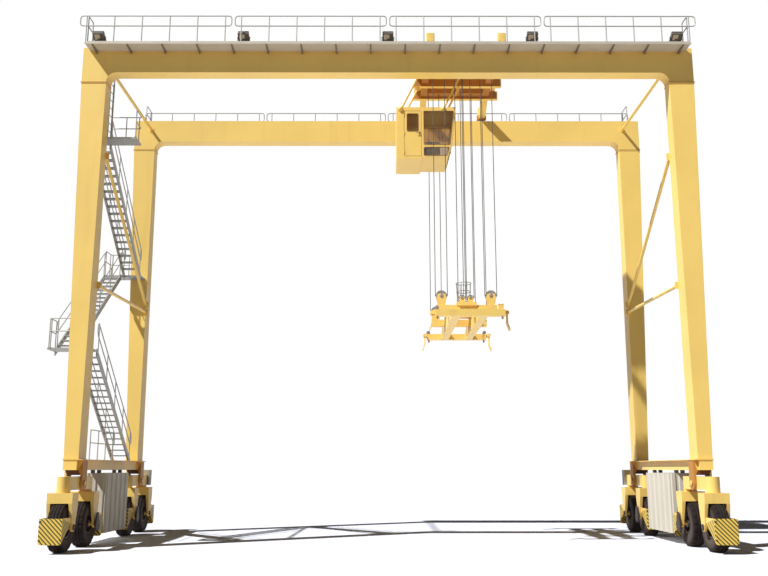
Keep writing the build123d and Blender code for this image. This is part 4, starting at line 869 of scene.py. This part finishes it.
def joint_seams():
    """Painted shadow lines: dark loops round the bolted joints at the top and the foot of every leg."""
    leg_top = (16.09, rectangle(10.055, 10.975, 3.126, 3.706))
    leg_foot = (SILL_TOP, rectangle(10.055, 10.57, 3.126, 3.931))
    shape = bmesh.new()
    for side_x in (-1, 1):
        for side_y in (-1, 1):
            for z, corners in (leg_top, leg_foot):
                tube(shape, [(side_x * x, side_y * y, z) for x, y in corners], 0.009, 6, True)
    piece("joint_seams", shape, SEAM, "gantry")


def rail_clips():
    """Bolted clips along both sides of the trolley rails."""
    clips, first, pitch, half, top = 20, -9.785, 1.03, 0.035, 17.428
    shape = bmesh.new()
    for y in (-GIRDER_Y, GIRDER_Y):
        for way in (-1, 1):
            for clip in range(clips):
                x = first + clip * pitch
                a, b = sorted((y + way * 0.03, y + way * 0.095))
                brick(shape, (x - half, a, GIRDER_TOP), (x + half, b, top), 0.003)
                bolt(shape, (x, y + way * 0.066, top), (0, 0, 1), 0.026)
    piece("rail_clips", shape, LOOKS["rail_steel"], "gantry")


# Fittings of the trolley and its cab

def wheel_covers():
    """Hoods over the trolley's four rail wheels, open below, standing on the wheel blocks."""
    half_x, half_y, low, top, wall, edge = 0.15, 0.1, BLOCK_TOP, 18.11, 0.012, 0.02
    levels = ((wall, top - wall), (wall, low), (0, low), (0, top - edge), (edge, top))
    shape = bmesh.new()
    for x in (TROLLEY_X - HALF_BASE, TROLLEY_X + HALF_BASE):
        for y in (-GIRDER_Y, GIRDER_Y):
            rings = []
            for inset, z in levels:
                a, b = half_x - inset, half_y - inset
                corners = [(*corner, z) for corner in rectangle(x - a, x + a, y - b, y + b)]
                rings.append([shape.verts.new(point) for point in rounded(corners, 0.03, True, 3)])
            skin(shape, rings)
            for way in (-1, 1):
                for out in (-1, 1):
                    bolt(shape, (x + way * 0.1, y + out * half_y, low + 0.06), (0, out, 0), 0.02)
    piece("wheel_covers", shape, LOOKS["yellow_paint"], "trolley")


def hoist_fittings():
    """Rope windings with end flanges on the drum, and cooling ribs on the motor."""
    core, flange, valley, crest = 0.331, 0.36, 0.333, 0.345
    shape = bmesh.new()
    profile = [(-1.045, core), (-1.045, flange), (-1.02, flange), (-1.02, core)]
    for index in range(67):
        along = -1.0 + index * 0.03
        profile += [(along, valley), (along + 0.008, crest), (along + 0.02, crest), (along + 0.028, valley)]
    profile += [(1.02, core), (1.02, flange), (1.045, flange), (1.045, core)]
    lathe(shape, profile, (0, 1, 0), (TROLLEY_X, 0, DRUM_Z), 36)
    piece("drum_windings", shape, LOOKS["wire_rope"], "trolley")

    case, rib = 0.201, 0.218
    shape = bmesh.new()
    profile = [(0.0, case)]
    for index in range(18):
        along = 0.04 + index * 0.045
        profile += [(along, case), (along, rib), (along + 0.02, rib), (along + 0.02, case)]
    profile += [(0.9, case), (0.9, 0.225), (1.05, 0.215), (1.06, 0.15)]
    lathe(shape, profile, (0, 1, 0), (1.95, -1.03, DRUM_Z), 32)
    piece("motor_ribs", shape, LOOKS["machine_grey"], "trolley")


def screen_x(z):
    """X of the cab's raked front at a height."""
    foot, kink, top = CAB_FRONT
    (z0, x0), (z1, x1) = (kink, top) if z > kink[0] else (foot, kink)
    return x0 + (z - z0) / (z1 - z0) * (x1 - x0)


def pillow(shape, centre, size, power, turn=Matrix.Identity(3)):
    """Crowned closed cushion: a softly squared ellipsoid."""
    def squared(value):
        return abs(value) ** power * (1 if value >= 0 else -1)

    rows, columns = 12, 24
    grid = []
    for row in range(1, rows):
        level = -pi / 2 + pi * row / rows
        ring = []
        for column in range(columns):
            angle = 2 * pi * column / columns
            local = Vector((squared(cos(level)) * squared(cos(angle)) * size[0] / 2,
                            squared(cos(level)) * squared(sin(angle)) * size[1] / 2,
                            squared(sin(level)) * size[2] / 2))
            ring.append(shape.verts.new(Vector(centre) + turn @ local))
        grid.append(ring)
    skin(shape, grid)


def cab_seals():
    """Dark rubber round every window and the door, and a wiper."""
    bead, rear, side, front = 0.011, 1.403, CAB_SIDE + 0.002, 0.855
    shape = bmesh.new()
    for y in (-side, side):
        for low, high in CAB_PANES:
            corners = [(rear, y, low), (screen_x(low) - 0.06, y, low), (screen_x(high) - 0.06, y, high),
                       (rear, y, high)]
            loop(shape, corners, 0.05, bead, steps=4)
    for low, high in CAB_PANES:
        corners = [(screen_x(z) + 0.001, y, z) for y, z in rectangle(-front, front, low, high)]
        loop(shape, corners, 0.05, bead, steps=4)
    window = [(x, -side, z) for x, z in rectangle(0.752, 1.196, 15.335, 16.06)]
    loop(shape, window, 0.06, bead)
    leaf = [(x, -CAB_SIDE, z) for x, z in rectangle(0.642, 1.306, 14.33, 16.17)]
    loop(shape, leaf, 0.03, 0.007, 6, 4)
    wiper = [(0.15, 14.86, 0.015), (0.05, 15.3, 0.03), (-0.1, 15.75, 0.02)]
    blade = [(-0.02, 15.4, 0.016), (-0.18, 16.05, 0.016)]
    for path, radius in ((wiper, 0.008), (blade, 0.012)):
        tube(shape, [(screen_x(z) + off, y, z) for y, z, off in path], radius, 6)
    y, z, _ = wiper[0]
    lathe(shape, [(0, 0.05), (0.03, 0.05), (0.035, 0.04)], (1, 0, 0), (screen_x(z), y, z), 16)
    piece("cab_seals", shape, SEAM, "trolley")


def strut_lugs():
    """Round lugs on the top edge of the cab's side walls, where the struts end."""
    radius = 0.1
    dome = [(radius * sin(step * pi / 14), radius * cos(step * pi / 14)) for step in range(7)]
    shape = bmesh.new()
    for x in (0.5, 2.16):
        for way in (-1, 1):
            lathe(shape, dome, (0, way, 0), (x, way * CAB_SIDE, 16.25), 20)
            tube(shape, [(x, way * 0.93, 16.27), (x + 0.05, way * 0.72, 16.42)], 0.04, 10)
    piece("strut_lugs", shape, LUG_PAINT, "trolley")


def door_fittings():
    """Handle and hinges of the cab's door."""
    shape = bmesh.new()
    brick(shape, (1.215, -0.921, 15.2), (1.275, -CAB_SIDE, 15.32), 0.003)
    tube(shape, rounded([(1.245, -0.915, 15.26), (1.245, -0.965, 15.26), (1.11, -0.965, 15.25)], 0.02), 0.013)
    piece("door_handle", shape, SEAM, "trolley")
    shape = bmesh.new()
    for z in (14.5, 15.25, 16.0):
        lathe(shape, [(-0.06, 0.014), (0.06, 0.014)], (0, 0, 1), (0.635, -0.927, z), 12)
        brick(shape, (0.6, -0.919, z - 0.05), (0.7, -CAB_SIDE, z + 0.05), 0.002)
    piece("door_hinges", shape, LOOKS["yellow_paint"], "trolley")


def cab_furniture():
    """The driver's seat, and its foot with two arm consoles."""
    lean = Matrix.Rotation(radians(-10), 3, "Y")
    shape = bmesh.new()
    pillow(shape, (1.62, 0, 14.84), (0.52, 0.52, 0.16), 0.35)
    pillow(shape, (1.33, 0, 15.22), (0.15, 0.5, 0.7), 0.35, lean)
    pillow(shape, (1.27, 0, 15.68), (0.11, 0.3, 0.2), 0.45, lean)
    piece("driver_seat", shape, RUBBER, "trolley")
    foot = [(0, 0.24), (0.03, 0.24), (0.05, 0.09), (0.3, 0.08), (0.34, 0.2), (0.42, 0.22)]
    lever = [(0, 0.035), (0.02, 0.03), (0.03, 0.012), (0.12, 0.012), (0.13, 0.03), (0.19, 0.028),
             (0.2, 0.015)]
    shape = bmesh.new()
    lathe(shape, foot, (0, 0, 1), (1.6, 0, 14.35), 24)
    for way in (-1, 1):
        a, b = sorted((way * 0.33, way * 0.52))
        brick(shape, (1.5, a, 14.355), (2.05, b, 15.06), 0.03)
        lathe(shape, lever, (0, 0, 1), (1.9, way * 0.425, 15.058), 16)
    piece("driver_consoles", shape, CONSOLE, "trolley")


# Fittings of the spreader

def spreader_fittings():
    """Twistlock heads, flipper motors, axle caps of the sheaves and a lid on the small box."""
    lock = [(-0.109, 0.014), (-0.085, 0.036), (-0.05, 0.04), (-0.046, 0.0305), (-0.001, 0.0305)]
    motor = [(-0.13, 0.03), (-0.12, 0.06), (-0.02, 0.068), (0.0, 0.075), (0.1, 0.075), (0.11, 0.05),
             (0.13, 0.048)]
    cap = [(0, 0.065), (0.012, 0.065), (0.016, 0.058), (0.02, 0.03)]
    middle_cap = [(0, 0.055), (0.01, 0.055), (0.014, 0.048)]
    lock_x, lock_y, lock_z = 1.1295, 2.9265, 7.74
    motor_x, motor_y, motor_z = 1.155, 2.9, 8.045
    box_corner = (1, -1)                        # the small box stands here in place of a motor
    shape = bmesh.new()
    for side in (-1, 1):
        for end in (-1, 1):
            lathe(shape, lock, (0, 0, 1), (TROLLEY_X + side * lock_x, end * lock_y, lock_z), 20)
            if (side, end) != box_corner:
                x, y = TROLLEY_X + side * motor_x, end * motor_y
                lathe(shape, motor, (0, 1, 0), (x, y, motor_z), 24)
                brick(shape, (x - 0.06, y - 0.08, 7.97), (x + 0.06, y + 0.08, 8.0), 0.004)
            for way in (-1, 1):
                seat = (TROLLEY_X + side * SHEAVE_X, end * SHEAVE_Y + way * CHEEK, SHEAVE_Z)
                lathe(shape, cap, (0, way, 0), seat, 24)
        for way in (-1, 1):
            seat = (TROLLEY_X + side * MIDDLE_X, -SHEAVE_Y + way * CHEEK, MIDDLE_Z)
            lathe(shape, middle_cap, (0, way, 0), seat, 20)
    piece("spreader_fittings", shape, LOOKS["rail_steel"], "spreader")
    shape = bmesh.new()
    brick(shape, (3.835, -2.994, 8.135), (4.025, -2.804, 8.165), 0.006)
    piece("box_lid", shape, LOOKS["yellow_paint"], "spreader")


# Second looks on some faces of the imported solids

def repaint(node, material, chosen):
    """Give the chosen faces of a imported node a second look."""
    mesh = nodes[node].data
    place = nodes[node].matrix_world
    mesh.materials.append(material)
    last = len(mesh.materials) - 1
    for polygon in mesh.polygons:
        if chosen(place @ polygon.center, polygon.normal):
            polygon.material_index = last


def second_looks():
    """Basket wire, house hangers, cab front, painted shade on beams, saddles and sills, brackets, boxes and
    guards.
    """
    saddle_x = 10.03                            # inner face of the sills, where saddles and boxes begin

    def basket(at, normal):
        return at.z > 8.352 and hypot(at.x - BASKET_X, at.y - BASKET_Y) < 0.33

    # painted shade: sides of the trolley's beams, and bottom faces of its cross beams
    def shaded_beam_faces(at, normal):
        return at.z < 18.24 if abs(normal.y) > 0.9 else normal.z < -0.9 and 17.97 < at.z < 18

    # painted shade: bottom faces of the sills, and low faces between the saddle plates
    def shaded_sill_bottoms(at, normal):
        return at.z < 2.51 and normal.z < -0.9 or saddle_x < abs(at.x) < 10.47 and at.z < 2.5

    repaint("headblock", LOOKS["galvanised_steel"], basket)
    repaint("machinery_houses", LOOKS["lamp_case"], lambda at, normal: at.z > 2.401)
    repaint("cab_shell", BRACKET, lambda at, normal: normal.x > 0.8 and at.x > 2.3)
    repaint("trolley_frame", BEAM_SHADE, shaded_beam_faces)
    # painted shade on the saddle plates and the low inner faces of the sills
    repaint("sill_beams", SADDLE_SHADE, lambda at, normal: abs(at.x) < saddle_x and at.z < 2.8)
    repaint("sill_beams", UNDERSIDE_SHADE, shaded_sill_bottoms)
    for end in ("front", "rear"):
        repaint(f"{end}_walkway", BRACKET, lambda at, normal: at.z < 17.2785)
    for side in ("left", "right"):
        repaint(f"rear_{side}_equaliser", BOX_PAINT,
                lambda at, normal: at.z > 2.31 or at.y > 4.805 or abs(at.x) < saddle_x)
    for stem, x, y, turn, side, place in wheel_places():
        repaint(f"{stem}_fork", STRIPES, lambda at, normal: (at.y - y) * cos(turn) < -0.45)


set_camera()
set_world()
set_lamps()
set_floor()
paint_nodes()
second_looks()
rope_falls()
wheels()
running_gear()
walkway_rails()
stair_rails()
stair_gratings()
lamp_fittings()
joint_seams()
rail_clips()
wheel_covers()
hoist_fittings()
cab_seals()
strut_lugs()
door_fittings()
cab_furniture()
spreader_fittings()
